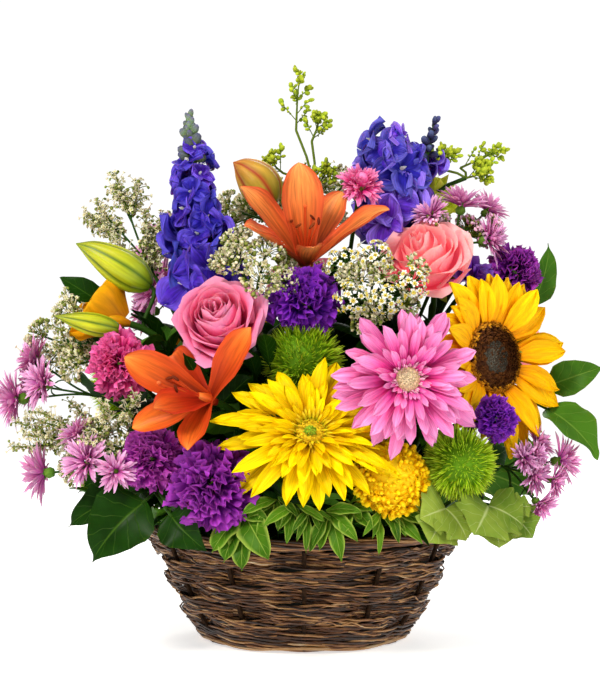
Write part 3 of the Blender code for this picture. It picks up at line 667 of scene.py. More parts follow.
def grown(name, colours, *middle, veins=9, vein_depth=0.25, spread=0.12, hue=0.006, bump_mm=0.3, edge=None,
          grooves=0, glow=0.12, **values):
    """A petal or leaf, coloured from base to tip. Middle is where the colours between the first and the last are.
    Veins is how many fit across, and edge tints the rim, or the grooves where there are any."""
    made, add = new_finish(name)
    u, v, _ = add("SeparateXYZ", add("UVMap", uv_map="UVMap")).node.outputs
    shade = add("Attribute", attribute_name="shade").node.outputs["Fac"]
    lines = add("CombineXYZ", add("Math.MULTIPLY", u, float(veins)), add("Math.MULTIPLY", v, 1.3),
                add("Math.MULTIPLY", shade, 60.0))
    vein = add("TexNoise", lines, Scale=2.0, Detail=3.0, Roughness=0.55)
    colour = ramped(add("ValToRGB", v), colours, (0, *middle, 1))
    if edge:
        if grooves:
            lobe = add("Math.ABSOLUTE", add("Math.SINE", add("Math.MULTIPLY", u, grooves * math.pi)))
            from_middle = add("Math.SUBTRACT", 0.5, add("Math.MULTIPLY", lobe, 0.5))
        else:
            from_middle = add("Math.ABSOLUTE", add("Math.SUBTRACT", u, 0.5))
        colour = add("Mix", add("MapRange", from_middle, 0.2, 0.5), colour, linear(edge), data_type="RGBA")
    dark = add("MapRange", vein, 0.3, 0.7, 1 - vein_depth, 1 + vein_depth / 2)
    own = add("MapRange", shade, 0.0, 1.0, 1 - spread, 1 + spread)
    colour = add("HueSaturation", add("MapRange", shade, 0.0, 1.0, 0.5 - hue, 0.5 + hue),
                 Value=add("Math.MULTIPLY", dark, own), Color=colour)
    values = dict(Roughness=0.55, Subsurface_Weight=glow, Subsurface_Scale=2 * MM) | values
    surface(add, colour, vein, bump_mm, 0.35, **values)
    return made


def leaf_finish(name, deep_and_fresh, vein_colour, gloss=0.42, rim=0.0):
    """A leaf: a pale midrib, side veins that leave it at a slant, and a quilted, waxy skin between them. Rim is how
    much of the veins' colour its margin has."""
    made, add = new_finish(name)
    u, v, _ = add("SeparateXYZ", add("UVMap", uv_map="UVMap")).node.outputs
    shade = add("Attribute", attribute_name="shade").node.outputs["Fac"]
    aside = add("Math.ABSOLUTE", add("Math.SUBTRACT", u, 0.5))
    place = add("TexCoord").node.outputs["Object"]
    wander = add("Math.MULTIPLY", add("TexNoise", place, Scale=90.0, Detail=1.0), 0.12)
    curved = add("Math.MULTIPLY", add("Math.POWER", aside, 0.75), 0.42)
    slant = add("Math.ADD", add("Math.SUBTRACT", v, curved), wander)
    pulse = add("Math.ABSOLUTE", add("Math.SINE", add("Math.MULTIPLY", slant, 6 * math.pi)))
    side = add("MapRange", pulse, 0.0, 0.14, 0.5, 0.0)
    midrib = add("MapRange", aside, 0.0, 0.03, 1.0, 0.0)
    margin = add("MapRange", aside, 0.34, 0.5, 0.0, rim)
    veined = add("Math.MAXIMUM", add("Math.MAXIMUM", side, midrib), margin)
    patch = add("TexNoise", place, Scale=60.0, Detail=4.0)
    mixed = add("Math.ADD", add("Math.MULTIPLY", patch, 0.7), add("Math.MULTIPLY", shade, 0.45))
    colour = add("Mix", add("Math.MULTIPLY", veined, 0.6), ramped(add("ValToRGB", mixed), deep_and_fresh, (0.25, 0.8)),
                 linear(vein_colour), data_type="RGBA")
    surface(add, colour, add("Math.SUBTRACT", add("Math.MULTIPLY", patch, 0.3), veined), 0.5, 0.5, Roughness=gloss,
            Subsurface_Weight=0.05, Subsurface_Scale=MM, Specular_IOR_Level=0.08)
    return made


# %% [markdown]
# Each finish is named for the flower and the place on it. Its first colour is at the base of a petal.

# %% Petal and leaf finishes
# Warm gold rays round a near-black disc, with a ring of pollen and a grey heart of shut florets.
SUNFLOWER_RAY = grown("sunflower_ray_petal", "#e88a00 #ffb200 #ffca04", 0.3, veins=7, vein_depth=0.28)
SUNFLOWER_DISC = grown("sunflower_disc_floret", "#1c0d08 #3a1a0e #5c3413", 0.6, spread=0.4, glow=0)
SUNFLOWER_POLLEN = grown("sunflower_pollen", "#3a1a08 #84490e #c98a1e", 0.6, spread=0.45, glow=0)
SUNFLOWER_HEART = grown("sunflower_closed_floret", "#2a1a12 #5f5a4e", spread=0.3, glow=0)
# Satin pink rays that pale outwards, and a creamy button with a pink fringe.
GERBERA_RAY = grown("gerbera_ray_petal", "#b80a6c #ee46a2 #f9a2d4", 0.35, veins=8, vein_depth=0.28)
GERBERA_HEART = grown("gerbera_disc_floret", "#c8a070 #e8cf8c #f8e6c0", 0.5, spread=0.2)
GERBERA_TRANS = grown("gerbera_inner_petal", "#e85a9a #fbc6de", spread=0.15)
# Clear lemon rays with amber in the folds, round a green eye.
MUM_RAY = grown("chrysanthemum_ray_petal", "#d29400 #f8c800 #ffe000", 0.3, veins=7, vein_depth=0.28)
MUM_HEART = grown("chrysanthemum_disc_floret", "#8fae1c #e6c410 #ffd92a", 0.5, spread=0.15)
MUM_EYE = grown("chrysanthemum_green_eye", "#5f8f1c #9dc22e", spread=0.2)
# Thin smooth petals that glow a little where light comes through them, deeper in the heart. The coral finish also has a
# painted glow: a weak emission in its own pink that brightens the petals with no lamp behind them.
ROSE_PINK = grown("pink_rose_petal", "#e4186a #ff5294 #ff9cc0", 0.45, veins=6, vein_depth=0.1, glow=0.3)
# Painted glow: the coral petals emit a little pink light of their own.
ROSE_CORAL_PAINTED_GLOW = grown("coral_rose_petal_painted_glow", "#ff3e66 #ff8496 #ffbcb8", 0.45, veins=6, vein_depth=0.08, glow=0.3,
                   Emission_Color=linear("#ff6880"), Emission_Strength=0.14)
# Matte ruffles. Their colour runs from dark at each petal's base to light at its rim: painted shade between the petals
# and a painted highlight on the rims.
CARNATION_PINK = grown("carnation_petal_deep_pink", "#72083a #d22c80 #f26eae", 0.65, spread=0.25)
CARNATION_MAGENTA = grown("carnation_petal_magenta", "#42083e #96209a #c452ba", 0.65, spread=0.25)
CARNATION_PURPLE = grown("carnation_petal_purple", "#2a053c #701488 #a63eb4", 0.65, spread=0.3)
CARNATION_VIOLET = grown("carnation_petal_violet", "#200440 #5c169a #8c34be", 0.65, spread=0.3)
CORNFLOWER = grown("cornflower_fringe", "#b0145e #ee4296 #ff9ccc", 0.5, spread=0.2)
LISIANTHUS = grown("lisianthus_petal", "#3c1080 #6a30b4 #9664d4", 0.6, spread=0.2)
# Royal blue and violet sepals with strong veins and paler rims, a cream bee in the middle, and dusty buds.
DELPHINIUM = grown("delphinium_sepal", "#6c66cc #221684 #2c1c98 #5444c4", 0.14, 0.6, veins=8, vein_depth=0.5,
                   spread=0.35, hue=0.016, edge="#5e50cc")
DELPHINIUM_VIOLET = grown("delphinium_violet_sepal", "#8a7ce0 #3a209c #4a2ab2 #7c66de", 0.14, 0.6, veins=8,
                          vein_depth=0.5, spread=0.3, hue=0.02, edge="#8674e4")
DELPHINIUM_BEE = grown("delphinium_bee", "#d8d0b8 #f1eee0", spread=0.2)
DELPHINIUM_BUD = grown("delphinium_bud", "#4e6a2c #6a7a58 #5c5488", 0.5, spread=0.4, hue=0.03)
DELPHINIUM_DARK_BUD = grown("delphinium_dark_bud", "#3a2a1c #2c2c50 #5a6690", 0.5, spread=0.4, hue=0.03)
# Thick waxy tepals with a soft gloss, dark in the throat, and buds with a groove between each two tepals.
LILY_ORANGE = grown("orange_lily_tepal", "#6c1004 #b83a0c #e0641c #f08a3a", 0.3, 0.65, veins=7, vein_depth=0.3,
                    edge="#cc4218", Roughness=0.42, Specular_IOR_Level=0.2)
LILY_SALMON = grown("salmon_lily_tepal", "#8c2408 #d8682c #f08e44 #f6a45c", 0.3, 0.65, veins=7, vein_depth=0.42,
                    edge="#d8522c", Roughness=0.42, Specular_IOR_Level=0.2)
LILY_GOLD = grown("gold_lily_tepal", "#a86004 #dc9406 #e8aa14", 0.5, veins=7, Roughness=0.42)
LILY_BUD_GREEN = grown("green_lily_bud", "#7c9a14 #c4c61e #8a961a", 0.5, veins=14, edge="#4e6e10", grooves=6,
                       Roughness=0.4, Specular_IOR_Level=0.4)
LILY_BUD_STRIPED = grown("striped_lily_bud", "#8f8a24 #c89a3c #c8783c", 0.5, veins=12, edge="#a83a22", grooves=6,
                         Roughness=0.4)
ANTHER = grown("lily_anther", "#5a2410 #8a3c18", spread=0.3)
FILAMENT = grown("lily_filament", "#d85a20 #f2844a")
# The small flowers: mauve brushes, cream lace, white daisies with a yellow button, and a dome of bright yellow.
ASTER = grown("aster_ray_petal", "#a03088 #d468b4 #f6bee2", 0.35, vein_depth=0.3, spread=0.2)
WHITE_FLORET = grown("white_spray_floret", "#9c9438 #cec694 #e8e0c4", 0.4, vein_depth=0.06, spread=0.14)
PINK_FLORET = grown("pink_spray_floret", "#c0508c #f0a4cc #ffe0ee", 0.4, vein_depth=0.06, spread=0.15)
DAISY_RAY = grown("feverfew_ray_petal", "#eeeccf #fffef8", vein_depth=0.08, spread=0.05)
DAISY_HEART = grown("feverfew_disc", "#f0bc08 #ffee40", spread=0.15)
YARROW = grown("yarrow_floret", "#eaa000 #fcc400 #ffdc1a", 0.5, spread=0.14)
# Fresh greens: fuzzy dianthus balls, lime florets, and buds that pale towards their tips.
BRISTLE = grown("green_dianthus_bristle", "#4c7a0a #90b812 #cee43c", 0.5, spread=0.3)
BRISTLE_BASE = grown("green_dianthus_core", "#4a7a10 #6c9c18", spread=0.2, glow=0.02)
LIME_FLORET = grown("hydrangea_floret_lime", "#c8d828 #f4f85c", spread=0.15)
BUDLET = grown("solidago_bud", "#70941c #c2cc34", spread=0.25, glow=0.05)
LACE_BUD = grown("green_spray_bud", "#435c1c #949c48", spread=0.3, glow=0.05)
# Sepals and stems are matte and darker than the leaves' upper sides.
SEPAL = grown("green_sepal", "#3c6a1c #78a038", spread=0.25, glow=0.02)
STEM = grown("cut_green_stem", "#2f5616 #4c7620", veins=4, spread=0.2, glow=0.02, Roughness=0.45)
LIME_STEM = grown("solidago_twig", "#6a8420 #98a834", veins=4, spread=0.2, glow=0.02)
# Leathery dark salal, mid-green myrtle, fresh ruscus with pale margins and veined pale ivy.
LEAF_DARK = leaf_finish("salal_leaf", "#0a2002 #1c4208", "#486c1c", gloss=0.36)
LEAF_MID = leaf_finish("myrtle_leaf", "#1c4408 #44701a", "#7c9c3c")
LEAF_FRESH = leaf_finish("ruscus_leaf", "#1c4206 #527f16", "#b0c454", rim=1.0)
LEAF_PALE = leaf_finish("ivy_leaf", "#4a6c18 #8c9f3c", "#c6d08c", gloss=0.45)
print(len(bpy.data.materials), "finishes so far")

# %% [markdown]
# ## Willow, liner and foam
#
# The rods are brown willow, dried with the bark on. The bark is near black in its wrinkles, chestnut on the
# swellings, and worn to tan or grey where the rods rub. Its grain runs with the rod, so its noise is stretched
# along "run", the distance that the tree stored, and each rod starts from its own shade.

# %% Bark and the plain finishes
def willow_finish():
    made, add = new_finish("brown_willow_bark")
    run, shade = (add("Attribute", attribute_name=name).node.outputs["Fac"] for name in ("run", "shade"))
    place = add("TexCoord").node.outputs["Object"]
    height = add("SeparateXYZ", place).node.outputs["Z"]
    grain = add("CombineXYZ", add("Math.MULTIPLY", run, 60.0), add("Math.MULTIPLY", height, 900.0),
                add("Math.MULTIPLY", shade, 37.0))
    wrinkle = add("TexNoise", grain, Scale=1.0, Detail=4.0, Roughness=0.6)
    worn = add("TexNoise", place, Scale=45.0, Detail=3.0)
    tone = add("Math.ADD", add("Math.MULTIPLY", wrinkle, 0.75),
               add("Math.ADD", add("Math.MULTIPLY", shade, 0.3), add("Math.MULTIPLY", worn, 0.25)))
    colour = ramped(add("ValToRGB", tone), "#090402 #2e190b #6b4122 #a87a46 #bfac8e", (0.38, 0.54, 0.68, 0.8, 0.94))
    surface(add, colour, wrinkle, 0.5, 0.6, Roughness=0.5, IOR=1.45, Specular_IOR_Level=0.5)
    return made


def plain_finish(name, dark_and_light, grain_mm, bump_mm, **values):
    """A moulded or foamed surface: two close tones and a bump, both at one grain size."""
    made, add = new_finish(name)
    grain = add("TexNoise", add("TexCoord").node.outputs["Object"], Scale=1 / (grain_mm * MM), Detail=3.0)
    surface(add, ramped(add("ValToRGB", grain), dark_and_light, (0.35, 0.65)), grain, bump_mm, 0.5, **values)
    return made


def refinish(node, finish):
    """Give a CAD node that stays in view its finish."""
    nodes[node].data.materials.clear()
    nodes[node].data.materials.append(finish)


WILLOW = willow_finish()
# The liner is satin dark green plastic and the foam is dull and open-pored. The stakes have the same bark darkened all
# over, as painted shade.
refinish("liner", plain_finish("moulded_polypropylene_liner", "#0c140c #152015", 2.0, 0.05, Roughness=0.4, IOR=1.49))
refinish("floral_foam", plain_finish("phenolic_floral_foam", "#0f2a14 #1f4a24", 0.8, 0.4, Roughness=0.95))
refinish("basket_stakes", plain_finish("willow_stake_painted_shade", "#120a05 #34200f", 2.0, 0.4, Roughness=0.7))

# %% [markdown]
# ## The woven wall
#
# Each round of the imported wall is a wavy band. Its own mesh tells where it is: its lowest and highest edge give
# the height and the slope, and its nearest and farthest points from the axis give the wave. Nine rods of about
# 2 mm share the height of a band. They swap places in pairs, and thinner twigs wander over them, which is what
# hides the plain stripes.

# %% Weave the wall
def measure(node):
    """Height, half height, mean radius and slope of a ring-shaped CAD node, and its points' angles and radii."""
    x, y, height = np.array([vert.co for vert in nodes[node].data.vertices]).T
    radius = np.hypot(x, y)
    middle, half = (height.max() + height.min()) / 2, (height.max() - height.min()) / 2
    low, high = radius[height < middle].mean(), radius[height > middle].mean()
    return middle, half, radius.mean(), (high - low) / (2 * half), np.arctan2(y, x), radius


STAKES = 12
bands = sorted(name for name in nodes if name.startswith("basket_weave"))
for i, band in enumerate(bands):
    middle, half, radius, slope, angles, radii = measure(band)
    swing = 2 * np.mean((radii - radius) * np.exp(-1j * STAKES / 2 * angles))
    shared = dict(Slope=slope, Wave=abs(swing), Waves=STAKES / 2, Phase=-np.angle(swing))
    thick = weave(9, 168, radius, middle, 0.98 * MM, Spread=2 * half - 2 * MM, Roll=math.pi, Twist=11.0 + 2 * i,
                  RollOut=0.8 * MM, RollUp=1.0 * MM, Wander=7.0 * MM, Seed=31 + i, **shared)
    thin = weave(7, 168, radius + 1.1 * MM, middle, 0.6 * MM, Spread=2 * half - 1 * MM, Roll=2.1, Twist=7.0 - i,
                 RollOut=1.0 * MM, RollUp=1.3 * MM, Wander=13.0 * MM, Seed=71 + i, Sides=5, **shared)
    piece = stand_in(f"willow_round_{i + 1}", [thick, thin], band)
    print(piece.name, "swings", round(abs(swing) / MM, 1), "mm at height", round(middle / MM, 1), "mm")

# %% [markdown]
# ## Rim and base
#
# At the top the stakes are bent over and the last rods roll round each other into a border. The base is woven
# flat: rings of rods go over and under the crossed sticks of the bottom, so each ring waves up and down against
# its neighbours. A foot of rods hides the joint between base and wall.

# %% Weave the rim and the base
middle, half, radius, *_, radii = measure("basket_rim")
spread = (radii.max() - radii.min()) / 2
border = weave(16, 168, radius, middle, 1.05 * MM, Roll=2 * math.pi / 16, Twist=2.0, RollOut=spread - 1.5 * MM,
               RollUp=half - 0.8 * MM, Wander=6.0 * MM, Seed=5)
fill = weave(6, 144, radius, middle, 1.7 * MM, Roll=2 * math.pi / 6, Twist=-3.0, RollOut=spread * 0.45,
             RollUp=half * 0.4, Wander=3.0 * MM, Seed=9)
stand_in("willow_border", [border, fill], "basket_rim")

low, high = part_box("basket_base")
reach, middle = high.x, low.z + (high.z - low.z) / 2
rings = weave(int((reach - 10 * MM) / (2.9 * MM)), 96, (reach + 10 * MM) / 2 - 0.8 * MM, middle, 1.25 * MM,
              Fan=reach - 13 * MM, WaveUp=0.9 * MM, PhaseStep=math.pi, Wander=0.8 * MM, Seed=3, Sides=5)
foot = weave(10, 144, reach + 0.5 * MM, low.z + 8.2 * MM, 0.95 * MM, Slope=measure(bands[0])[3], Spread=11 * MM,
             Wave=1.6 * MM, Roll=math.pi, Twist=9.0, RollOut=1.0 * MM, RollUp=1.0 * MM, Wander=5.0 * MM, Seed=13,
             Sides=5)
sticks = []
for i in range(STAKES // 2):
    turn = 2 * math.pi * i / STAKES
    ahead = Vector((math.cos(turn), math.sin(turn), 0)) * (reach - 2 * MM)
    sticks.append(([middle * UP - ahead, middle * UP, middle * UP + ahead], 1.5 * MM))
stand_in("willow_base", [rings, foot, rods(sticks, WILLOW)], "basket_base")
print("basket triangles:", sum(pieces.values()))

# %% [markdown]
# ## Stems
#
# Every cut stem is pushed about 26 mm into the foam, along a line that spreads from one point low in the
# basket. Above the foam it bends in one smooth curve to the neck of its flower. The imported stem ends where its
# loose points are nearest to that focus, and the rest of the curve follows from the neck's place and facing.

# %% Find a stem's curve again
FOCUS = Vector((0, 0, 20 * MM))
HOLE_DEPTH = 26 * MM
STEM_PULL, NECK_PULL = 0.45, 0.28
STEM_POINTS = 14
THIRD_RING = 0.45  # of the way from a head's widest ring to its back


def limbs_on(node, sides):
    return [limb for limb in plants[node][0] if limb.sides == sides]


def inner_end(node):
    """The end of the stem down in the foam: the points nearest to the spot that all stems point away from."""
    loose = plants[node][1]
    distance = np.linalg.norm(loose - np.array(FOCUS), axis=1)
    return Vector(loose[distance < distance.min() + 1.5 * MM].mean(axis=0))


def stem_curve(node, neck, facing):
    """Points from the cut end in the foam to the neck."""
    end = inner_end(node)
    aim = (end - FOCUS).normalized()
    mouth = end + aim * HOLE_DEPTH
    reach = (neck - mouth).length
    ends = [mouth, mouth + aim * STEM_PULL * reach, neck - facing * NECK_PULL * reach, neck]
    return [end] + [Vector(point) for point in curve_points(ends, STEM_POINTS)]


def stem_radius(node):
    """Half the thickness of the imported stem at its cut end."""
    distance = np.linalg.norm(plants[node][1] - np.array(inner_end(node)), axis=1)
    return float(distance[distance < 6 * MM].mean())


def head_frame(centre, facing):
    """Axes for a head: +Z is the way it looks and +Y is as near up as it can be."""
    side = UP.cross(facing)
    side = side.normalized() if side.length > 0.05 else Vector((1, 0, 0))
    turned = Matrix((side, facing.cross(side), facing)).transposed()
    return Matrix.Translation(centre) @ turned.to_4x4()


def shift(z=0.0, scale=1.0):
    return Matrix.Translation((0, 0, z)) @ Matrix.Scale(scale, 4)


def spin(angle, axis):
    return Matrix.Rotation(angle, 4, axis)


def round_head(node):
    """The head of a packed bloom: its frame, its radius, its depth behind its widest ring, and its stem."""
    (limb,), _ = plants[node]
    facing, centre = limb.facing(), limb.centres[2]
    back = (centre - limb.centres[3]).length / THIRD_RING
    neck = centre - facing * (back - 5 * MM)
    return head_frame(centre, facing), limb.radius(2), back, stem_curve(node, neck, facing)


def cup_of(heights, radii, sides, shade, finish, ribs=0, depth=0.0):
    """A closed round body up the Z axis, such as the green cup behind a head."""
    return shaded(loft("cup", [(0, 0, height) for height in heights], radii, sides, ribs, depth), shade, finish)


# %% [markdown]
# ## Leaves
#
# A packed leaf has a centre line and a width at five places. A smooth curve through them gives the real blade:
# folded a little along its midrib, arched between its veins and drawn out to a fine tip. Its outline can be
# toothed into lobes for ivy. Plain leaves on the flower stems fill the shade between the heads, as a florist
# leaves them on.

# %% Make a leaf along a line
SALAL = ((0, 0.1), (0.05, 0.5), (0.17, 0.92), (0.33, 1.0), (0.5, 0.84), (0.65, 0.54), (0.78, 0.26), (0.89, 0.1), (1, 0.0))
LANCE = ((0, 0.12), (0.15, 0.6), (0.4, 1.0), (0.6, 0.86), (0.78, 0.45), (0.92, 0.14), (1, 0.0))
LOBED = ((0, 0.3), (0.05, 0.85), (0.2, 1.0), (0.36, 1.2), (0.43, 0.86), (0.5, 0.78), (0.64, 0.95), (0.72, 0.52),
         (0.86, 0.25), (1, 0.0))


def leaf_along(line, across, half_width, outline, fold=0.35, ruffle=0.05, rows=18, columns=8, thickness=0.5 * MM,
               hollow=1, seed=0):
    """A blade along a line, widest along the direction across. It is folded at hollow 1 and a trough at hollow 2."""
    rng = np.random.default_rng(seed)
    spine, across = curve_points(line, rows + 1), np.array(across)
    ahead = np.gradient(spine, axis=0)
    ahead /= np.linalg.norm(ahead, axis=1, keepdims=True)
    side = across - ahead * (ahead @ across)[:, None]
    side /= np.linalg.norm(side, axis=1, keepdims=True)
    up = np.cross(side, ahead)
    v, u = np.linspace(0, 1, rows + 1)[:, None], np.linspace(-1, 1, columns + 1)[None, :]
    half = half_width * np.interp(v, *zip(*outline))
    ripple = np.sin(15 * v + rng.uniform(0, 6) + 1.5 * np.sign(u))
    lift = fold * np.abs(u)**hollow * half + ruffle * half_width * ripple * u**2
    points = spine[:, None] + side[:, None] * (half * u)[:, :, None] + up[:, None] * lift[:, :, None]
    return skin("blade", points, thickness)


def stem_leaves(path, count, length, seed, finish, high):
    """A few leaves along a stem, up to this share of it, turned round it and arching outwards."""
    rng = np.random.default_rng(seed)
    leaves = []
    for i in range(count):
        place = 0.2 + (high - 0.2) * (i + rng.uniform(0, 0.6)) / count
        here = int(place * (len(path) - 2))
        base, ahead = path[here], (path[here + 1] - path[here]).normalized()
        round_it = Vector((1, 0.2, 0)).cross(ahead).normalized()
        round_it.rotate(Matrix.Rotation(i * GOLDEN + rng.uniform(0, 1), 3, ahead))
        reach = length * rng.uniform(0.75, 1.1)
        line = [base + (ahead * up + round_it * out) * reach
                for up, out in ((0, 0), (0.35, 0.25), (0.5, 0.62), (0.42, 1.0))]
        blade = leaf_along(line, ahead.cross(round_it), reach * 0.24, LANCE, rows=10, columns=6, seed=seed + i)
        leaves.append(shaded(blade, rng.uniform(0, 1), finish))
    return leaves


def plant(node, kind, parts, path, leaves, seed, length=48 * MM, finish=LEAF_DARK, high=0.86):
    """Put a head on its stem and leaves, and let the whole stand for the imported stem."""
    stem = rods([(path, stem_radius(node))], STEM, 8)
    return stand_in(f"{node}_{kind}", parts + [stem] + stem_leaves(path, leaves, length, seed, finish, high), node)


print("stems:", {node: f"{2 * stem_radius(node) / MM:.1f} mm thick" for node in ("sunflower", "aster_left")})

# %% [markdown]
# ## The big daisies
#
# Sunflower, gerbera and chrysanthemum are built alike. A disc of tiny florets packs the middle at the golden
# angle, and flat ray petals stand round it. The sunflower has two rows of pointed gold rays round a wide dark
# disc. The gerbera has five rows of pink ones that get shorter inwards, and so has the chrysanthemum, whose
# inner rays close over its green eye. Long rays hang a little under their own weight. Behind each head sits a
# cup of green bracts, which the back views show.

# %% Sunflowers, gerberas and chrysanthemum
DISC_FLORETS = pattern("disc_floret", star("disc_floret", 1.3 * MM, tips=5, notch=0.5, dome=0.9, thickness=0.9))
PISTILS = petals("pistil", 2, length=6 * MM, half_width=0.7 * MM, outline=NARROW, bend=(30, -50), rows=3, columns=2)
QUILLS = petals("quill", 3, length=9 * MM, half_width=0.8 * MM, outline=NARROW, bend=(10, -45), cup=0.4, rows=4,
                columns=2)
BRACTS = petals("bract", 2, length=20 * MM, half_width=5 * MM, outline=RAY, bend=(-10, 40), cup=0.3, rows=5)
DROOP_FROM = 15 * MM


def sagged(mesh, droop):
    """Pull what stands far out from a head's middle down, towards -Y in the head's own axes."""
    points = np.array([vert.co for vert in mesh.vertices])
    drop = droop * np.maximum(np.hypot(points[:, 0], points[:, 1]) - DROOP_FROM, 0)**2
    points[:, 1] -= drop
    points[:, 2] -= 0.4 * drop
    mesh.vertices.foreach_set("co", points.ravel())
    return mesh


def daisy(node, seed, made_for, rays, finish, rows, hearts, leaves, bed, bed_finish, bed_height=0.0, jitter=0.12,
          droop=0.0, green=1.0, across=1.0, up=1.0):
    """Rows of rays are (count, mm out, mm forward, tilt, size); hearts are the whorls of the disc, and bed is the
    radius of the pad they grow on; all for one radius. Across and up widen and flatten the head."""
    frame_of, radius, back, path = round_head(node)
    size = radius / (made_for * MM)
    layers = [sagged(whorl(rays, count, finish, out * MM, height * MM, polar=(60, 60), turn=2 * math.pi / count,
                           tilt=(tilt, tilt), size=(scale, scale), jitter=jitter, seed=seed + i), droop)
              for i, (count, out, height, tilt, scale) in enumerate(rows)]
    layers += [whorl(kind, count, colour, out * MM, height * MM, polar, tilt, scale, ease=ease, jitter=0.18,
                     seed=seed + 9 + i)
               for i, (kind, count, colour, out, height, polar, tilt, scale, ease) in enumerate(hearts)]
    parts = [(layer, frame_of @ shift(0, size) @ Matrix.Diagonal((across, up, 1, 1))) for layer in layers]
    pad = cup_of([height * MM for height in (-7, -2, 2.2, 3.2)], [bed * share for share in (0.5, 0.96, 0.9, 0.3)],
                 32, 0.4, bed_finish)
    cup = cup_of([2 * MM - back, -back * 0.75, -back * 0.35, -back * 0.12],
                 [3.2 * MM, radius * green * 0.3, radius * green * 0.42, radius * green * 0.40], 16, 0.5, SEPAL, 8, 0.12)
    bracts = whorl(BRACTS, 14, SEPAL, radius * green * 0.30, back * 0.9, polar=(100, 112), tilt=(12, 4),
                   size=(1.0, 1.15), seed=5)
    parts += [(pad, frame_of @ shift(bed_height * size, size)), (cup, frame_of), (bracts, frame_of)]
    return plant(node, "bloom", parts, path, leaves, seed)


RAYS_GOLD = petals("gold_ray", 5, length=39 * MM, half_width=8.6 * MM, outline=RAY, bend=(8, -24), cup=0.22,
                   ruffle=0.14, waves=1.6, rows=8, columns=8, twist=0.16, crease=0.09)
GOLD_ROWS = [(20, 27, 0, 24, 0.96), (22, 27, -4, 14, 1.08)]
GOLD_HEART = [(DISC_FLORETS, 190, SUNFLOWER_HEART, 26, 3, (0, 28), (60, 60), (0.8, 1.1), 0.5),
              (DISC_FLORETS, 380, SUNFLOWER_DISC, 26, 5, (27, 62), (75, 60), (1.1, 1.35), 0.6),
              (DISC_FLORETS, 280, SUNFLOWER_POLLEN, 26, 7, (58, 84), (70, 40), (1.0, 1.3), 0.8)]
RAYS_PINK = petals("pink_ray", 5, length=31 * MM, half_width=3.9 * MM, outline=BLUNT_RAY, bend=(14, -22), cup=0.3,
                   ruffle=0.14, waves=1.5, rows=7, columns=8, notch=0.03, crease=0.13)
PINK_ROWS = [(24, 13, -4, 5, 1.2), (24, 12.5, -2, 12, 1.1), (21, 11.5, 1, 21, 0.92), (20, 10.5, 3, 34, 0.64),
             (24, 9.5, 4, 50, 0.36)]
PINK_HEART = [(PISTILS, 90, GERBERA_TRANS, 9.5, 3, (52, 80), (70, 45), (0.8, 1.2), 1.0),
              (DISC_FLORETS, 170, GERBERA_HEART, 8, 5, (0, 75), (85, 60), (0.6, 0.8), 0.5)]
RAYS_YELLOW = petals("yellow_ray", 6, length=34 * MM, half_width=3.8 * MM, outline=LONG_RAY, bend=(20, -34), cup=0.35,
                     ruffle=0.2, waves=1.6, rows=8, columns=6, twist=0.3, crease=0.12)
YELLOW_ROWS = [(22, 12, -6, -2, 1.44), (23, 12, -3, 8, 1.32), (23, 11.5, 0, 19, 1.14), (23, 11, 3, 31, 0.9),
               (22, 11, 5, 44, 0.6)]
YELLOW_HEART = [(QUILLS, 170, MUM_HEART, 12.5, 7, (36, 88), (66, 34), (0.85, 1.3), 0.7),
                (DISC_FLORETS, 130, MUM_HEART, 11.5, 9, (26, 80), (85, 50), (0.8, 1.1), 0.6),
                (DISC_FLORETS, 40, MUM_EYE, 4.6, 11, (0, 75), (85, 60), (0.7, 1.0), 0.5)]
for node, seed in (("sunflower", 11), ("sunflower_back", 21)):
    daisy(node, seed, 48, RAYS_GOLD, SUNFLOWER_RAY, GOLD_ROWS, GOLD_HEART, 5, 25 * MM, SUNFLOWER_DISC, droop=1.5)
for node, seed in (("gerbera_pink", 31), ("gerbera_back", 41)):
    daisy(node, seed, 44, RAYS_PINK, GERBERA_RAY, PINK_ROWS, PINK_HEART, 3, 9 * MM, GERBERA_HEART, jitter=0.24,
          droop=1.5, green=0.8)
daisy("mum_yellow", 51, 47, RAYS_YELLOW, MUM_RAY, YELLOW_ROWS, YELLOW_HEART, 5, 10.5 * MM, MUM_HEART, 2 * MM,
      jitter=0.2, droop=1.3, green=0.8, across=1.06, up=0.88)
print("daisies:", {name: pieces[name] for name in pieces if name.endswith("_bloom")})

# %% [markdown]
# ## Carnations and other ruffled heads
#
# A carnation is a ball of fan-shaped petals with notched, ruffled rims. Only the rims show, so each petal is a
# coarse fan with a wavy edge, and about ninety of them lean from upright in the middle to drooping at the side.
# The green dianthus has bristles in place of petals, yarrow is a dome of tiny stars, and the small fringed pink
# head is made of narrow toothed strips.

# %% Round heads from one rule
RUFFLES = petals("ruffle", 6, length=15.5 * MM, half_width=8 * MM, outline=FAN, bend=(6, -34), cup=0.1, ruffle=0.36,
                 waves=3.1, notch=0.12, rows=6, columns=13, thickness=0.4 * MM, roll=27)
SOFT_RUFFLES = petals("soft_ruffle", 4, length=15 * MM, half_width=9 * MM, outline=FAN, bend=(10, -25), cup=0.3,
                      ruffle=0.25, waves=1.8, notch=0.04, rows=6, columns=7, thickness=0.4 * MM)
FRINGE = petals("fringe", 4, length=13 * MM, half_width=2.2 * MM, outline=FAN, bend=(5, -20), cup=0.3, ruffle=0.3,
                waves=2, notch=0.4, rows=4, columns=4)
BRISTLE_SHAPE = dict(outline=NARROW, rows=2, columns=2, thickness=0.7 * MM)
SPINES = petals("spine", 3, length=9.5 * MM, half_width=0.42 * MM, bend=(0, 25), **BRISTLE_SHAPE)
PEGS = pattern("peg", *[fused(f"peg_{i}", [petal("peg", (6.5 + i) * MM, 0.4 * MM, **BRISTLE_SHAPE),
                                           star("peg", 1.2 * MM)]) for i in range(3)])
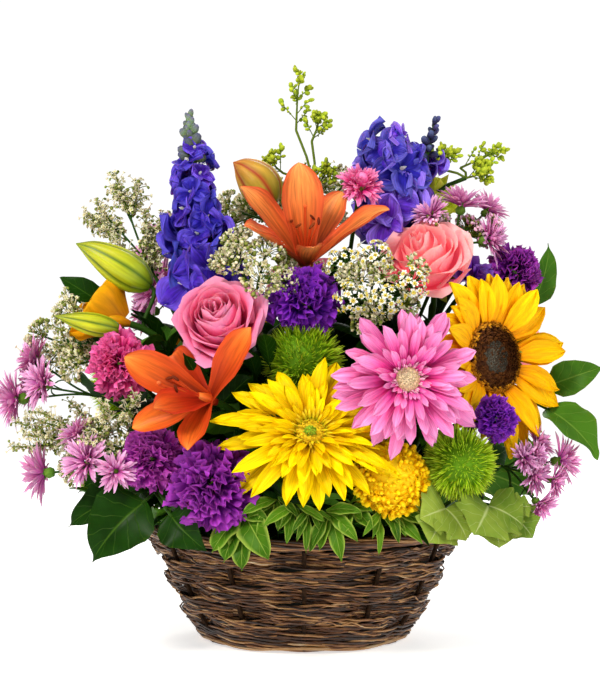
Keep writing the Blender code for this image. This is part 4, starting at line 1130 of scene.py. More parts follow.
STARS = pattern("star", star("star_floret", 2.1 * MM, dome=0.35, thickness=0.5),
                star("star_floret_b", 1.9 * MM, tips=6, dome=0.1))
BUDS = pattern("bead", knob("bead", 1.3 * MM, 1.3, 6, 4))
FLAT_FLORETS = pattern("lime_floret", star("lime_floret", 7 * MM, tips=4, notch=0.45, dome=0.2, thickness=0.12))


def core_of(radius, finish, low=0.0):
    """A closed ball that fills a head, so that nothing shows through between its petals."""
    core = knob("core", radius * MM, 1.0, 16, 8)
    core.transform(shift((low - radius) * MM) @ spin(math.pi / 2, "X"))
    return shaded(core, 0.3, finish)


def domed(shapes, count, finish, radius, height, polar, tilt, size, seed, ease=1.0, jitter=0.22):
    return whorl(shapes, count, finish, radius * MM, height * MM, polar, tilt, size, ease=ease, jitter=jitter, seed=seed)


def ball(node, *layers, cup=True, grown_by=1.0):
    """A round head: layers are whorls made for a radius of 20 mm, scaled to this one. Its sepals hide its back."""
    frame_of, radius, back, path = round_head(node)
    parts = [(layer, frame_of @ shift(0, grown_by * radius / (20 * MM))) for layer in layers]
    if cup:
        sepals = cup_of([2 * MM - back, -back * 0.8, -back * 0.3, 0],
                        [2.2 * MM, radius * 0.24, radius * 0.3, radius * 0.34], 10, 0.6, SEPAL, 5, 0.1)
        parts.append((sepals, frame_of))
    return plant(node, "bloom", parts, path, 3, len(node), 42 * MM)


for i, (node, finish) in enumerate((
        ("carnation_pink", CARNATION_PINK), ("carnation_magenta", CARNATION_MAGENTA),
        ("carnation_purple_low", CARNATION_PURPLE), ("carnation_purple_middle", CARNATION_VIOLET),
        ("carnation_purple_right", CARNATION_PURPLE), ("carnation_violet_small", CARNATION_VIOLET),
        ("carnation_back", CARNATION_PINK))):
    seed = 61 + 3 * i
    ball(node, domed(RUFFLES, 44, finish, 4.5, 6, (0, 72), (86, 42), (0.75, 0.92), seed, 0.6),
         domed(RUFFLES, 50, finish, 7.0, 3, (70, 114), (36, -40), (0.88, 0.98), seed + 1), grown_by=1.1)
for i, (place, spines) in enumerate((("middle", SPINES), ("right", PEGS), ("back", SPINES))):
    fuzz = domed(spines, 1500, BRISTLE, 14, 14, (0, 128), (90, -35), (0.8, 0.95), 81 + i, 0.52, 0.28)
    ball(f"green_dianthus_{place}", fuzz, core_of(15.5, BRISTLE_BASE), grown_by=1.05)
ball("yarrow_yellow", domed(STARS, 520, YARROW, 17.5, 14, (0, 108), (90, 20), (0.65, 0.85), 91, 0.52, 0.4),
     domed(BUDS, 260, YARROW, 16.5, 13.5, (0, 105), (90, 0), (0.7, 1.05), 92, 0.5, 0.4), core_of(17, YARROW, -2.5),
     cup=False, grown_by=1.25)
ball("cornflower_pink", domed(FRINGE, 80, CORNFLOWER, 5, 5, (0, 78), (90, 50), (0.8, 1.05), 94, 0.7, 0.35),
     domed(FRINGE, 90, CORNFLOWER, 5, 1, (75, 112), (52, -25), (1.1, 1.25), 95, jitter=0.35),
     core_of(6.5, CORNFLOWER, 8), grown_by=1.2)
ball("lisianthus_violet", domed(SOFT_RUFFLES, 9, LISIANTHUS, 2.5, 4, (20, 80), (85, 60), (0.8, 1.1), 96),
     domed(SOFT_RUFFLES, 10, LISIANTHUS, 4, 1, (80, 100), (45, 5), (1.3, 1.4), 97), grown_by=1.25)
ball("lime_hydrangea", domed(FLAT_FLORETS, 44, LIME_FLORET, 13, 11, (0, 118), (88, -20), (0.9, 1.15), 98, 0.55, 0.35),
     core_of(10, LIME_FLORET), grown_by=2.2)
print("round heads:", sum(pieces.values()), "triangles so far")

# %% [markdown]
# ## Roses
#
# A rose is a spiral of cupped petals. Each wraps part of the way round the bud, one edge tucked under its
# neighbour, and each is a little wider and opens a little further than the one inside it. The rims of the outer
# ones roll back to a soft point. No instance could wrap so closely, so each petal is its own grid on a
# cup-shaped profile, and no two have the same height, lean or waviness.

# %% Roses from a spiral of cupped petals
def rose_petal(share, radius, turn, rng, wavy, finish):
    """One petal, from share 0 in the heart to 1 outside. The head's middle is the origin and it opens to +Z."""
    rows, columns = 10, 12
    v, u = np.linspace(0, 1, rows + 1)[:, None], np.linspace(-1, 1, columns + 1)[None, :]
    rim = radius * (0.06 + 0.80 * share**0.85) * rng.uniform(0.94, 1.06)
    open_by = max(0.0, share - 0.35) / 0.65
    half_angle = math.radians(105 - 50 * share)
    top = radius * (0.78 - 0.66 * share**1.5 + rng.uniform(-0.06, 0.06))
    foot = -0.62 * radius
    belly = rim * (1.06 - 0.2 * open_by)
    point = np.maximum(0, 1 - 2.2 * np.abs(u)) * v**5 * open_by
    roll = 0.34 * open_by * v**5 * (1 - 0.35 * np.abs(u)) + 0.12 * point
    out = belly * np.sin(np.clip(v * 1.35, 0, 1) * math.pi / 2)**0.75 + radius * roll - 0.12 * rim * (1 - open_by) * v**3
    rise = foot + (top - foot) * (v - 0.14 * open_by * v**6) * (1 - (0.16 + 0.14 * share) * np.abs(u)**3 * v)
    rise = rise + radius * wavy * (np.sin(u * rng.uniform(3, 6) + rng.uniform(0, 6)) * v**3 - 0.6 * point)
    out = out * (1 + 0.09 * u) + radius * wavy * np.sin(u * rng.uniform(3, 7) + rng.uniform(0, 6)) * v**4
    angle = turn + half_angle * u * (0.35 + 0.65 * np.sin(np.clip(v * 1.1, 0, 1) * math.pi / 2))
    points = np.stack([out * np.cos(angle), out * np.sin(angle), rise + 0 * angle], axis=2)
    return shaded(skin("rose_petal", points, 0.6 * MM), rng.uniform(0, 1), finish)


def rose(node, finish, seed, count=30, grown_by=1.1, wavy=0.035):
    frame_of, radius, back, path = round_head(node)
    rng = np.random.default_rng(seed)
    parts = []
    for i in range(count):
        share = i / (count - 1)
        lean = 0.05 + 0.1 * share
        mesh = rose_petal(share, radius * grown_by, i * GOLDEN + rng.uniform(-0.3, 0.3), rng, wavy, finish)
        parts.append((mesh, frame_of @ (spin(rng.uniform(-lean, lean), "X") @ spin(rng.uniform(-lean, lean), "Y"))))
    for i in range(5):
        sepal = shaded(petal("sepal", 26 * MM, 4 * MM, RAY, bend=(-25, 30), cup=0.3), i / 5, SEPAL)
        parts.append((sepal, frame_of @ spin(i * 2 * math.pi / 5, "Z") @ shift(-0.62 * radius)))
    hip = cup_of([2 * MM - back, -back * 0.85, -0.66 * radius, -0.5 * radius],
                 [2.5 * MM, radius * 0.2, radius * 0.28, radius * 0.2], 12, 0.5, SEPAL)
    return plant(node, "bloom", parts + [(hip, frame_of)], path, 9, seed, 50 * MM)


rose("rose_pink", ROSE_PINK, 101)
rose("rose_coral", ROSE_CORAL_PAINTED_GLOW, 111, 25, 1.15, 0.06)
rose("rose_back", ROSE_PINK, 121)
rose("rose_right", ROSE_CORAL_PAINTED_GLOW, 131, 25, 1.1, 0.06)
print("roses:", pieces["rose_pink_bloom"], "triangles each")

# %% [markdown]
# ## Lilies
#
# A lily has six thick, waxy tepals that spring from one point and bend back. Inside stand six filaments with
# long brown anthers and one style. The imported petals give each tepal's line and width. A bud is a six-ribbed
# spindle, because the folded tepals press against each other inside it. The golden lily carries one more small
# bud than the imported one, low at its side.

# %% Lilies on their packed petals
TEPAL = ((0, 0.3), (0.15, 0.58), (0.3, 0.88), (0.44, 1.0), (0.6, 0.93), (0.74, 0.72), (0.86, 0.44), (0.95, 0.18),
         (1, 0.0))
BUD_SWELL = 1.25


def ribbed_bud(line, radii, shade, finish):
    return shaded(loft("bud", line, radii, 36, 6, 0.16), shade, finish)


def packed_bud(limb, finish):
    """A bud on a packed spike, along its rings."""
    radii = [max(limb.radius(i), 0.3 * MM) for i in range(len(limb.centres))]
    smooth = through(np.column_stack([limb.centres, radii])[::-1], 20)
    rounded = np.minimum(1, 0.35 + np.sqrt(np.linspace(0, 1, 20)) * 1.6)
    return ribbed_bud(smooth[:, :3], np.maximum(smooth[:, 3] * BUD_SWELL * rounded, 0.2 * MM).tolist(), 0.5, finish)


def bud_stalk(ends, count):
    return rods([(curve_points(ends, count), 1.6 * MM)], STEM, 8)


def stamens(frame_of, reach):
    """Six filaments with an anther each, and the style between them."""
    filaments, parts = [], []
    for i in range(7):
        turn, lean = i * 2 * math.pi / 6, 0.0 if i == 6 else 0.26
        side = Vector((math.cos(turn), math.sin(turn), 0))
        long = reach * (0.62 if i == 6 else 0.48)
        line = [Vector(), 0.5 * long * UP + side * long * lean * 0.35, long * UP + side * long * lean]
        filaments.append(([frame_of @ Vector(point) for point in curve_points(line, 8)], (1.0 if i == 6 else 0.7) * MM))
        if i < 6:
            anther = knob("anther", 1.1 * MM, 3.0, 8, 5)
            anther.transform(Matrix.Translation((0, -3.3 * MM, 0)))
            turned = Matrix.Translation(line[-1]) @ spin(turn, "Z") @ spin(0.7, "X")
            parts.append((shaded(anther, i / 6, ANTHER), frame_of @ turned))
    stigma = shaded(knob("stigma", 1.7 * MM, 0.8, 6, 4), 0.4, FILAMENT)
    return parts + [rods(filaments, FILAMENT), (stigma, frame_of @ shift(reach * 0.62))]


def lily(node, tepal_finish, bud_finish, seed, wider=1.0, straight=0.5, sunk=8, open_wide=True, side_bud=()):
    """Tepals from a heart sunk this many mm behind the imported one. Straight draws them towards their chords. A side
    bud is the way from the heart to its foot and on to its tip, in mm."""
    rng = np.random.default_rng(seed)
    tepals = limbs_on(node, BLADE)
    middle = sum((limb.centres[-1] for limb in tepals), Vector()) / len(tepals)
    facing = sum(((limb.tip - middle).normalized() for limb in tepals), Vector()).normalized()
    heart = middle - facing * sunk * MM
    parts = []
    for limb in tepals:
        chord = limb.tip - heart
        line = [heart] + [point.lerp(heart + chord * ((point - heart).dot(chord) / chord.length_squared), straight)
                          for point in limb.centres[-2::-1]]
        across, half_width = limb.across(2)
        if across.cross(chord).dot(facing) < 0:
            across = -across
        blade = leaf_along(line, across, half_width * wider, TEPAL, fold=0.42, ruffle=0.07, rows=20, columns=12,
                           thickness=1.1 * MM, hollow=2, seed=seed + len(parts))
        parts.append(shaded(blade, rng.uniform(0, 1), tepal_finish))
    if open_wide:
        parts += stamens(head_frame(heart, facing), max((limb.tip - heart).length for limb in tepals))
    path = stem_curve(node, heart - facing * 6 * MM, facing)
    throat = loft("throat", [path[-1], heart + facing * 2 * MM, heart + facing * 10 * MM],
                  [2.4 * MM, 4.6 * MM, 3.0 * MM], 12)
    parts.append(shaded(throat, 0.2, tepal_finish))
    if side_bud:
        foot, tip = (heart + Vector(way) * MM for way in side_bud)
        shares = np.linspace(0, 1, 12)
        swell = [max(0.3, 8.5 * math.sin(math.pi * min(1.0, 0.12 + 0.88 * share**0.85))) * MM for share in shares]
        parts += [ribbed_bud([foot.lerp(tip, share) for share in shares], swell, 0.6, bud_finish),
                  bud_stalk([path[-6], foot], 4)]
    for limb in limbs_on(node, SPIKE):
        foot = limb.centres[-1]
        joint = min(path, key=lambda point: (point - foot).length + max(0.0, point.z - foot.z) * 3)
        reach = (foot - joint).length
        way = (limb.centres[-2] - foot).normalized()
        parts += [packed_bud(limb, bud_finish),
                  bud_stalk([joint, joint + 0.35 * UP * reach, foot - way * reach * 0.3, foot], 10)]
    print(node, "opens at", [round(side / MM) for side in heart], "mm")
    return plant(node, "bloom", parts, path, 11, seed, 46 * MM, LEAF_MID, 0.96)


lily("lily_orange_low", LILY_ORANGE, LILY_BUD_GREEN, 141, 0.95)
lily("lily_orange_top", LILY_SALMON, LILY_BUD_STRIPED, 151, 1.1, sunk=14)
lily("lily_gold_left", LILY_GOLD, LILY_BUD_GREEN, 161, 2.0, 0.7, 4, open_wide=False,
     side_bud=((0, -14, -6), (-46, -24, 4)))
print("lilies:", pieces["lily_orange_low_bloom"], "triangles")

# %% [markdown]
# ## Delphinium and solidago
#
# A delphinium spike carries open florets below and shut buds at its tip. Each floret is five broad, ruffled
# sepals round a small pale "bee", on a stalk of its own. Solidago is a thin arching stem crowded with round
# yellow-green buds on short side twigs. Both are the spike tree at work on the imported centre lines.

# %% Florets and buds along their spikes
SPIKE_POINTS = 28


def floret(name, length, seed):
    """A delphinium floret that faces +Y, out on its own short stalk."""
    rng = np.random.default_rng(seed)
    out = Matrix.Translation((0, length * 0.6, 0)) @ spin(-math.pi / 2, "X")
    shapes = [loft("stalk", [(0, 0, -3 * MM), (0, length * 0.3, -1 * MM), (0, length * 0.64, 0)],
                   [0.7 * MM, 0.7 * MM, 1.6 * MM], 6)]
    for i in range(5):
        sepal = petal("sepal", length * rng.uniform(0.8, 1.15), length * 0.56, LOBE, bend=(rng.uniform(15, 50), -50),
                      cup=0.12, ruffle=0.26, waves=2.3, rows=9, columns=11, twist=rng.uniform(-0.4, 0.4), crease=0.05,
                      seed=seed + i)
        sepal.transform(out @ spin(i * 2 * math.pi / 5 + rng.uniform(-0.25, 0.25), "Z"))
        shapes.append(sepal)
    return fused(name, shapes)


def bee_of(name, seed):
    made = petal(name, 6.5 * MM, 2.0 * MM, FLORET, bend=(0, 10), cup=0.5, rows=3, columns=3, seed=seed)
    made.transform(Matrix.Translation((0, 10 * MM, 0)))
    return made


FLORETS = pattern("floret", *[floret(f"floret_{seed}", 18 * MM, seed) for seed in (3, 13, 23, 33, 43)])
BEES = pattern("bee", bee_of("bee_a", 1), bee_of("bee_b", 2))
SPIKE_BUDS = pattern("spike_bud", knob("spike_bud_a", 3.4 * MM, 1.5, 7, 5), knob("spike_bud_b", 2.9 * MM, 1.8, 7, 5))


def delphinium(node, seed, florets, sizes, petal_finish, bud_finish, bud_size, open_share=0.72, lower=24 * MM,
               budded=True):
    """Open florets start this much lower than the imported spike, because they hang over its foot."""
    spikes = sorted(limbs_on(node, SPIKE), key=lambda limb: -limb.radius(2))
    parts = []
    for rank, limb in enumerate(spikes):
        main = rank == 0
        back = limb.centres[-1]
        start = back + (back - limb.centres[-2]).normalized() * (lower if main else 2 * MM)
        line = through([start] + limb.centres[::-1], SPIKE_POINTS)
        last = int(SPIKE_POINTS * (open_share if main else 0.45))
        count, size = (florets, sizes) if main else (4, (0.8, 0.55))
        parts += [spike(kind, line[:last], count, finish, (-6, 24), size, jitter=0.3, seed=seed + rank)
                  for kind, finish in ((FLORETS, petal_finish), (BEES, DELPHINIUM_BEE))]
        if main and not budded:
            line = line[:last]
        else:
            parts.append(spike(SPIKE_BUDS, line[last - 2:-1], 34 if main else 16, bud_finish, (15, 72),
                               (bud_size, bud_size * 0.65), jitter=0.25, seed=seed + 5 + rank))
        parts.append(rods([(line, np.linspace(2.4, 0.9, len(line)) * MM)], STEM, 8))
        end = Vector(line[0])
        if main:
            foot, below = end, Vector(line[1] - line[0]).normalized()
        else:
            pull = below * (10 * MM)
            parts.append(rods([(curve_points([foot, foot + pull, end - pull, end], 8), 1.6 * MM)], STEM))
    return plant(node, "spike", parts, stem_curve(node, foot, below), 6, seed, 60 * MM)


delphinium("delphinium_left", 171, 26, (1.45, 0.55), DELPHINIUM, DELPHINIUM_BUD, 1.15)
delphinium("delphinium_right", 181, 21, (1.32, 0.9), DELPHINIUM_VIOLET, DELPHINIUM_DARK_BUD, 0.9, 0.68, 34 * MM, False)
BUD_GROUP = pattern("bud_group", knob("bud_group_a", 1.5 * MM, 1.2, 6, 4), knob("bud_group_b", 1.1 * MM, 1.7, 6, 4))


def twiglet(name, length, tip):
    """A thread that grows along +Y and ends in a tiny flower or bud."""
    tip.transform(Matrix.Translation((0, length, 0)) @ spin(-math.pi / 2, "X"))
    return fused(name, [loft("thread", [(0, 0, 0), (0, length / 2, 0.4 * MM), (0, length, 0)], [0.28 * MM] * 3, 4), tip])


WHITE_TWIGS = pattern("white_twig", *[
    twiglet(f"white_twig_{i}", (3 + 1.8 * i) * MM, star("tip", (1.9 - 0.1 * i) * MM, dome=0.5)) for i in range(4)])
GREEN_TWIGS = pattern("green_twig", *[
    twiglet(f"green_twig_{i}", (2.5 + 1.6 * i) * MM, knob("tip", 1.0 * MM, 1.3, 5, 3)) for i in range(4)])


def plume(line, count, seed, white, size=1.0):
    """Tiny flowers and green buds on threads all round a twig. White is the share of flowers."""
    return [spike(kind, line, int(count * share), finish, (15, 60), (size, size * 0.7), jitter=0.5, seed=seed)
            for kind, share, finish in ((WHITE_TWIGS, white, WHITE_FLORET), (GREEN_TWIGS, 1 - white, LACE_BUD))
            ] + [rods([(line, 0.6 * MM)], LIME_STEM, 5)]


def bud_twig(start, ahead, aside, reach, seed):
    """A side twig with round buds crowded on its outer half."""
    twig = [start, start + (aside * 0.6 + ahead * 0.6) * reach * 0.6, start + (aside * 0.9 + ahead * 0.9) * reach]
    buds = spike(BUD_GROUP, twig[1:], 6, BUDLET, (5, 60), (0.9, 1.2), jitter=0.4, seed=seed)
    return [rods([(twig, 0.4 * MM)], LIME_STEM, 5), buds]


def solidago(node, seed, airy=0):
    rng = np.random.default_rng(seed)
    parts, feet = [], []
    for rank, limb in enumerate(limbs_on(node, SPIKE)):
        line = through(limb.centres[::-1], 20)
        ahead = Vector(line[-1] - line[0]).normalized()
        parts.append(rods([(line, np.linspace(1.0, 0.4, 20) * MM)], LIME_STEM))
        feet.append((Vector(line[0]), Vector(line[1] - line[0]).normalized()))
        for i in range(10):
            aside = ahead.orthogonal().normalized()
            aside.rotate(Matrix.Rotation(i * GOLDEN, 3, ahead))
            parts += bud_twig(Vector(line[int(2 + i * 16 / 9)]), ahead, aside, (14 - i) * MM * rng.uniform(0.7, 1.1),
                              seed + 10 * rank + i)
        parts.append(spike(BUD_GROUP, line[-5:], 9, BUDLET, (20, 80), (1.0, 0.9), jitter=0.4, seed=seed + 99 + rank))
    feet.sort(key=lambda each: each[0].z)
    foot, below = feet[0]
    parts += [rods([([foot, (foot + other) / 2 + below * 2 * MM, other], 1.0 * MM)], LIME_STEM)
              for other, _ in feet[1:] if (other - foot).length > 3 * MM]
    path = stem_curve(node, foot, below)
    for i in range(airy):
        at = path[-2 - i // 2]
        lean = Vector((math.sin(i * GOLDEN), 0.3 * math.cos(i * GOLDEN), 0.9)).normalized()
        parts += plume([at, at + lean * 14 * MM, at + lean * 26 * MM + 6 * MM * UP], 34, seed + 40 + i, 0.35)
    return plant(node, "spike", parts, path, 6, seed, 40 * MM, LEAF_FRESH)


solidago("solidago_top", 191, 12)
solidago("solidago_right", 201)
print("spikes:", {name: pieces[name] for name in pieces if name.endswith("_spike")})

# %% [markdown]
# ## Small sprays
#
# White lace, feverfew, asters and spray chrysanthemums fork below their heads. The heads' own directions meet
# at the fork, so the fork is the point nearest to all of those lines. A real spray carries many more heads than
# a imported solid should, so each packed head gets smaller ones beside it, on twigs that leave its stalk half
# way up. A lace head is a dome of tiny stars on thread-like stalks, an aster is a brush of narrow rays in a
# green cup, and feverfew is a small white daisy.

# %% Forks, stalks and small heads
EDGE_GAP = 8 * MM


def fork_of(heads):
    """The point nearest to the lines that run back from the heads."""
    away, sums = np.zeros((3, 3)), np.zeros(3)
    for head in heads:
        line = np.array(head.facing())
        off = np.eye(3) - np.outer(line, line)
        away += off
        sums += off @ np.array(head.centres[1])
    return Vector(np.linalg.solve(away, sums))


def arched(start, rise, end, back, radius):
    return curve_points([start, start + rise, end - back, end], 10), radius


def small_heads(node, head_parts, seed, beside=None, extra=2, grown_by=1.0):
    """A forked stem with head_parts(frame, radius, seed) at each packed head, and smaller ones beside each."""
    heads = limbs_on(node, CLUSTER)
    rng = np.random.default_rng(seed)
    fork = fork_of(heads)
    facing = sum((limb.facing() for limb in heads), Vector()).normalized()
    parts, stalks = [], []
    for i, limb in enumerate(heads):
        centre, looking, radius = limb.centres[1], limb.facing(), limb.radius(1) * grown_by
        reach = (centre - fork).length
        end = centre - looking * radius * 0.3
        stalks.append(arched(fork, facing * reach * 0.35, end, looking * reach * 0.3, 0.9 * MM))
        parts += head_parts(head_frame(centre, looking), radius, seed + 7 * i)
        for j in range(extra):
            turn = rng.uniform(0, 2 * math.pi)
            side = head_frame(Vector(), looking) @ Vector((math.cos(turn), math.sin(turn), 0))
            place = centre + side * radius * rng.uniform(1.1, 1.8) - looking * radius * rng.uniform(0.1, 1.4)
            place = Vector(np.clip(place, np.array(CAD_BOX[0]) + EDGE_GAP, np.array(CAD_BOX[1]) - EDGE_GAP))
            start, way = Vector(stalks[-1 - j][0][5]), (looking + side * 0.5).normalized()
            stalks.append(arched(start, facing * 8 * MM, place - way * 3 * MM, way * 6 * MM, 0.6 * MM))
            parts += (beside or head_parts)(head_frame(place, way), radius * rng.uniform(0.65, 0.9),
                                            seed + 100 + 7 * i + j)
    parts.append(rods(stalks, STEM))
    return plant(node, "spray", parts, stem_curve(node, fork, facing), 8, seed, 38 * MM, high=0.92)


TINY = pattern("tiny", star("tiny_a", 2.1 * MM, dome=0.4), star("tiny_b", 1.7 * MM, dome=0.6),
               knob("tiny_c", 1.0 * MM, 1.2, 6, 3))
GREEN_BEADS = pattern("green_bead", knob("green_bead_a", 0.9 * MM, 1.4, 5, 3), knob("green_bead_b", 1.1 * MM, 1.2, 5, 3))
TINY_BEADS = pattern("tiny_bead", knob("tiny_bead", 0.72 * MM, 1.0, 5, 3))
RAYS_WHITE = petals("white_ray", 2, length=5.2 * MM, half_width=1.7 * MM, outline=ROUND_RAY, bend=(5, -15), cup=0.2,
                    rows=3, columns=3)
RAYS_MAUVE = petals("mauve_ray", 3, length=12 * MM, half_width=1.1 * MM, outline=NARROW, bend=(12, -26), cup=0.3,
                    rows=4, columns=2)
TEETH = petals("tooth", 2, length=6 * MM, half_width=1.3 * MM, outline=RAY, bend=(10, 20), cup=0.3, rows=3, columns=2)
LACE_THREADS, DAISIES = 18, 26


def lace_head(frame_of, radius, seed, finish=WHITE_FLORET):
    """A dome of tiny stars, each on a thread from the foot of the head."""
    size = radius / (10 * MM)
    layers = ((TINY, 46, finish, 10.5, 6, (0, 100), 0.55, (85, 10), (1.0, 1.1), 0.4),
              (TINY, 16, finish, 8, 2, (20, 115), 0.6, (80, 0), (0.9, 1.0), 0.5),
              (GREEN_BEADS, 34, LACE_BUD, 9.5, 4.5, (0, 115), 0.55, (85, 0), (0.9, 1.2), 0.5))
    parts = [whorl(kind, int(count * size**2), colour, out * MM * size, height * MM * size, polar, tilt, scale,
                   ease=ease, jitter=jitter, seed=seed + i)
             for i, (kind, count, colour, out, height, polar, ease, tilt, scale, jitter) in enumerate(layers)]
    threads, foot = [], Vector((0, 0, -5 * MM * size))
    for i in range(LACE_THREADS):
        fall, turn = math.radians(100) * math.sqrt(i / LACE_THREADS), i * GOLDEN
        flat = math.sin(fall) * 10 * MM
        out = Vector((flat * math.cos(turn), flat * math.sin(turn), math.cos(fall) * 5.5 * MM)) * size
        threads.append(([foot, out * 0.5 - MM * UP, out], 0.3 * MM))
    return [(part, frame_of) for part in parts + [rods(threads, LIME_STEM, 4)]]


def feverfew_head(frame_of, radius, seed):
    """Small daisies on a dome, each with a yellow button."""
    rng = np.random.default_rng(seed)
    parts, threads = [], []
    for i in range(DAISIES):
        fall, turn = math.radians(88) * math.sqrt(i / DAISIES), i * GOLDEN + rng.uniform(0, 0.6)
        facing = Vector((math.sin(fall) * math.cos(turn), math.sin(fall) * math.sin(turn), math.cos(fall)))
        place = facing * radius * rng.uniform(0.82, 1.18)
        at = frame_of @ head_frame(place, facing) @ shift(0, rng.uniform(0.36, 0.5))
        rays = whorl(RAYS_WHITE, 8, DAISY_RAY, 1.4 * MM, tilt=(14, 14), turn=2 * math.pi / 8, jitter=0.25, seed=seed + i)
        button = whorl(TINY_BEADS, 18, DAISY_HEART, 2.0 * MM, 2.2 * MM, (0, 90), (90, 20), ease=0.5, seed=seed + i)
        parts += [(rays, at), (button, at)]
        threads.append(([-4 * MM * UP, place * 0.5, place], 0.35 * MM))
    return parts + [(rods(threads, SEPAL, 4), frame_of)]


def rayed_head(frame_of, size, rays, finish, rows, seed):
    """Rings of narrow rays, each (count, mm out, mm forward, tilt, size), in the head's own axes."""
    return [(whorl(rays, count, finish, out * MM, height * MM, (65, 65), (tilt, tilt), (scale, scale),
                   turn=2 * math.pi / count, jitter=0.28, seed=seed + i), frame_of @ shift(0, size))
            for i, (count, out, height, tilt, scale) in enumerate(rows)]


def aster_head(frame_of, radius, seed):
    """A brush of narrow rays in four rows, held by a green cup."""
    size = radius / (9.5 * MM)
    rows = ((30, 2.6, 1, 16, 1.0), (28, 2.4, 2, 30, 0.98), (24, 2.1, 3, 46, 0.9), (18, 1.8, 4, 62, 0.75))
    cup = shaded(knob("cup", 3.0 * MM, 1.0, 8, 4), 0.5, SEPAL)
    return (rayed_head(frame_of, size, RAYS_MAUVE, ASTER, rows, seed)
            + rayed_head(frame_of, size, TEETH, SEPAL, ((9, 1.8, -1, 35, 1.0),), seed + 5)
            + [(cup, frame_of @ shift(-5 * MM * size, size) @ spin(math.pi / 2, "X"))])


def spray_mum_head(frame_of, radius, seed):
    size = radius / (9 * MM)
    heart = whorl(TINY_BEADS, 26, MUM_EYE, 3 * MM, 2.5 * MM, (0, 90), (90, 20), (1.3, 1.3), ease=0.5, seed=seed)
    rows = ((18, 2.6, -2, 2, 0.98), (16, 2.6, 0, 22, 0.9), (12, 2.6, 2, 45, 0.7))
    return rayed_head(frame_of, size, RAYS_MAUVE, MUM_RAY, rows, seed) + [(heart, frame_of @ shift(0, size))]


def plume_head(frame_of, radius, seed):
    line = [frame_of @ Vector((0, 0, share * radius)) for share in (-3.2, -1.6, -0.2, 1.0)]
    return plume(line, 110, seed, 0.6, 1.1)


pink_lace_head = partial(lace_head, finish=PINK_FLORET)
for i, (node, head, beside, extra, grown_by) in enumerate((
        ("white_lace", lace_head, None, 1, 1.0), ("white_spray_back", lace_head, None, 2, 1.15),
        ("white_spray_left", lace_head, plume_head, 2, 1.0), ("white_spray_left_low", plume_head, None, 2, 1.1),
        ("white_sprig_high", plume_head, None, 2, 0.85))):
    small_heads(node, head, 301 + 40 * i, beside, extra, grown_by)
small_heads("white_feverfew", feverfew_head, 511, lace_head, grown_by=1.15)
for i, (node, beside, extra) in enumerate((
        ("aster_back", None, 1), ("aster_left", None, 1), ("aster_left_low", lace_head, 1),
        ("aster_right_high", pink_lace_head, 2), ("aster_right_low", None, 1))):
    small_heads(node, aster_head, 601 + 40 * i, beside, extra, 1.25)
small_heads("spray_mum_back", spray_mum_head, 811, extra=0)
print("sprays:", {name: pieces[name] for name in pieces if name.endswith("_spray")})

# %% [markdown]
# ## Foliage
#
# Salal leaves are broad, leathery and dark with pale veins. Fresh narrow leaves hang over the front of the
# rim in tufts, and the ivy at the right is pale and lobed. Each packed blade becomes one leaf on a short
# stalk; in a tuft it gets more leaves on each side.

# %% Leaves on their packed blades
def foliage(node, finish, outline, seed, fold=0.3, ruffle=0.08, wider=1.1, twins=()):
    """Twins are turns in degrees: each puts another leaf beside every packed one."""
    rng = np.random.default_rng(seed)
    end = inner_end(node)
    fork = max((Vector(point) for point in plants[node][1]), key=lambda point: (point - end).length)
    parts, stalks = [], []
    for i, limb in enumerate(limbs_on(node, BLADE)):
        across, half_width = limb.across(2)
        foot, middle = limb.centres[-1], limb.centres[2]
        if across.cross(limb.tip - foot).dot(middle - middle.z * 0.4 * UP) < 0:
            across = -across
        upper = across.cross(limb.tip - foot).normalized()
        for turn in (0, *twins):
            bent = Matrix.Rotation(math.radians(turn + (rng.uniform(-14, 14) if turn else 0)), 3, upper)
            scale = rng.uniform(0.55, 1.08) if turn else 1.0
            line = [foot + bent @ (centre - foot) * scale + upper * (abs(turn) * 0.12 * MM)
                    for centre in limb.centres[::-1]]
            blade = leaf_along(line, bent @ across, half_width * wider * scale, outline, fold, ruffle, rows=24,
                               columns=10, seed=seed + i + int(turn))
            parts.append(shaded(blade, rng.uniform(0, 1), finish))
        ahead, rise = (limb.centres[-2] - foot).normalized(), foot - fork
        stalks.append(arched(fork, rise * 0.4, foot + ahead * 3 * MM, ahead * rise.length * 0.3, 1.2 * MM))
    parts.append(rods(stalks, STEM))
    return plant(node, "leaves", parts, stem_curve(node, fork, (fork - end).normalized()), 0, seed)


for i, node in enumerate(sorted(name for name in plants if name.startswith("salal"))):
    foliage(node, LEAF_MID if "right" in node else LEAF_DARK, SALAL, 901 + 10 * i)
for node, seed in (("foliage_front_left", 971), ("foliage_front_right", 981)):
    foliage(node, LEAF_FRESH, LANCE, seed, ruffle=0.16, wider=0.66, twins=(-42, -18, 34, 66))
foliage("ivy_right", LEAF_PALE, LOBED, 991, fold=0.12, ruffle=0.03, wider=1.25, twins=(-46, 48))
print("foliage:", {name: pieces[name] for name in pieces if name.endswith("_leaves")})

# %% [markdown]
# ## Greens between the flowers
#
# A florist starts a basket by hiding the foam: short leafy sprigs go in all over it, and the flowers follow
# through them. They carry nothing and touch nothing that moves, so they are in the looks only. A sprig is a
# twig with pairs of leaves. The whorl tree sets the sprigs over the foam's dome and a skirt of single leaves
# over its foot, both measured from the foam's own box. Leaves that would run through the wall lie on the rim.

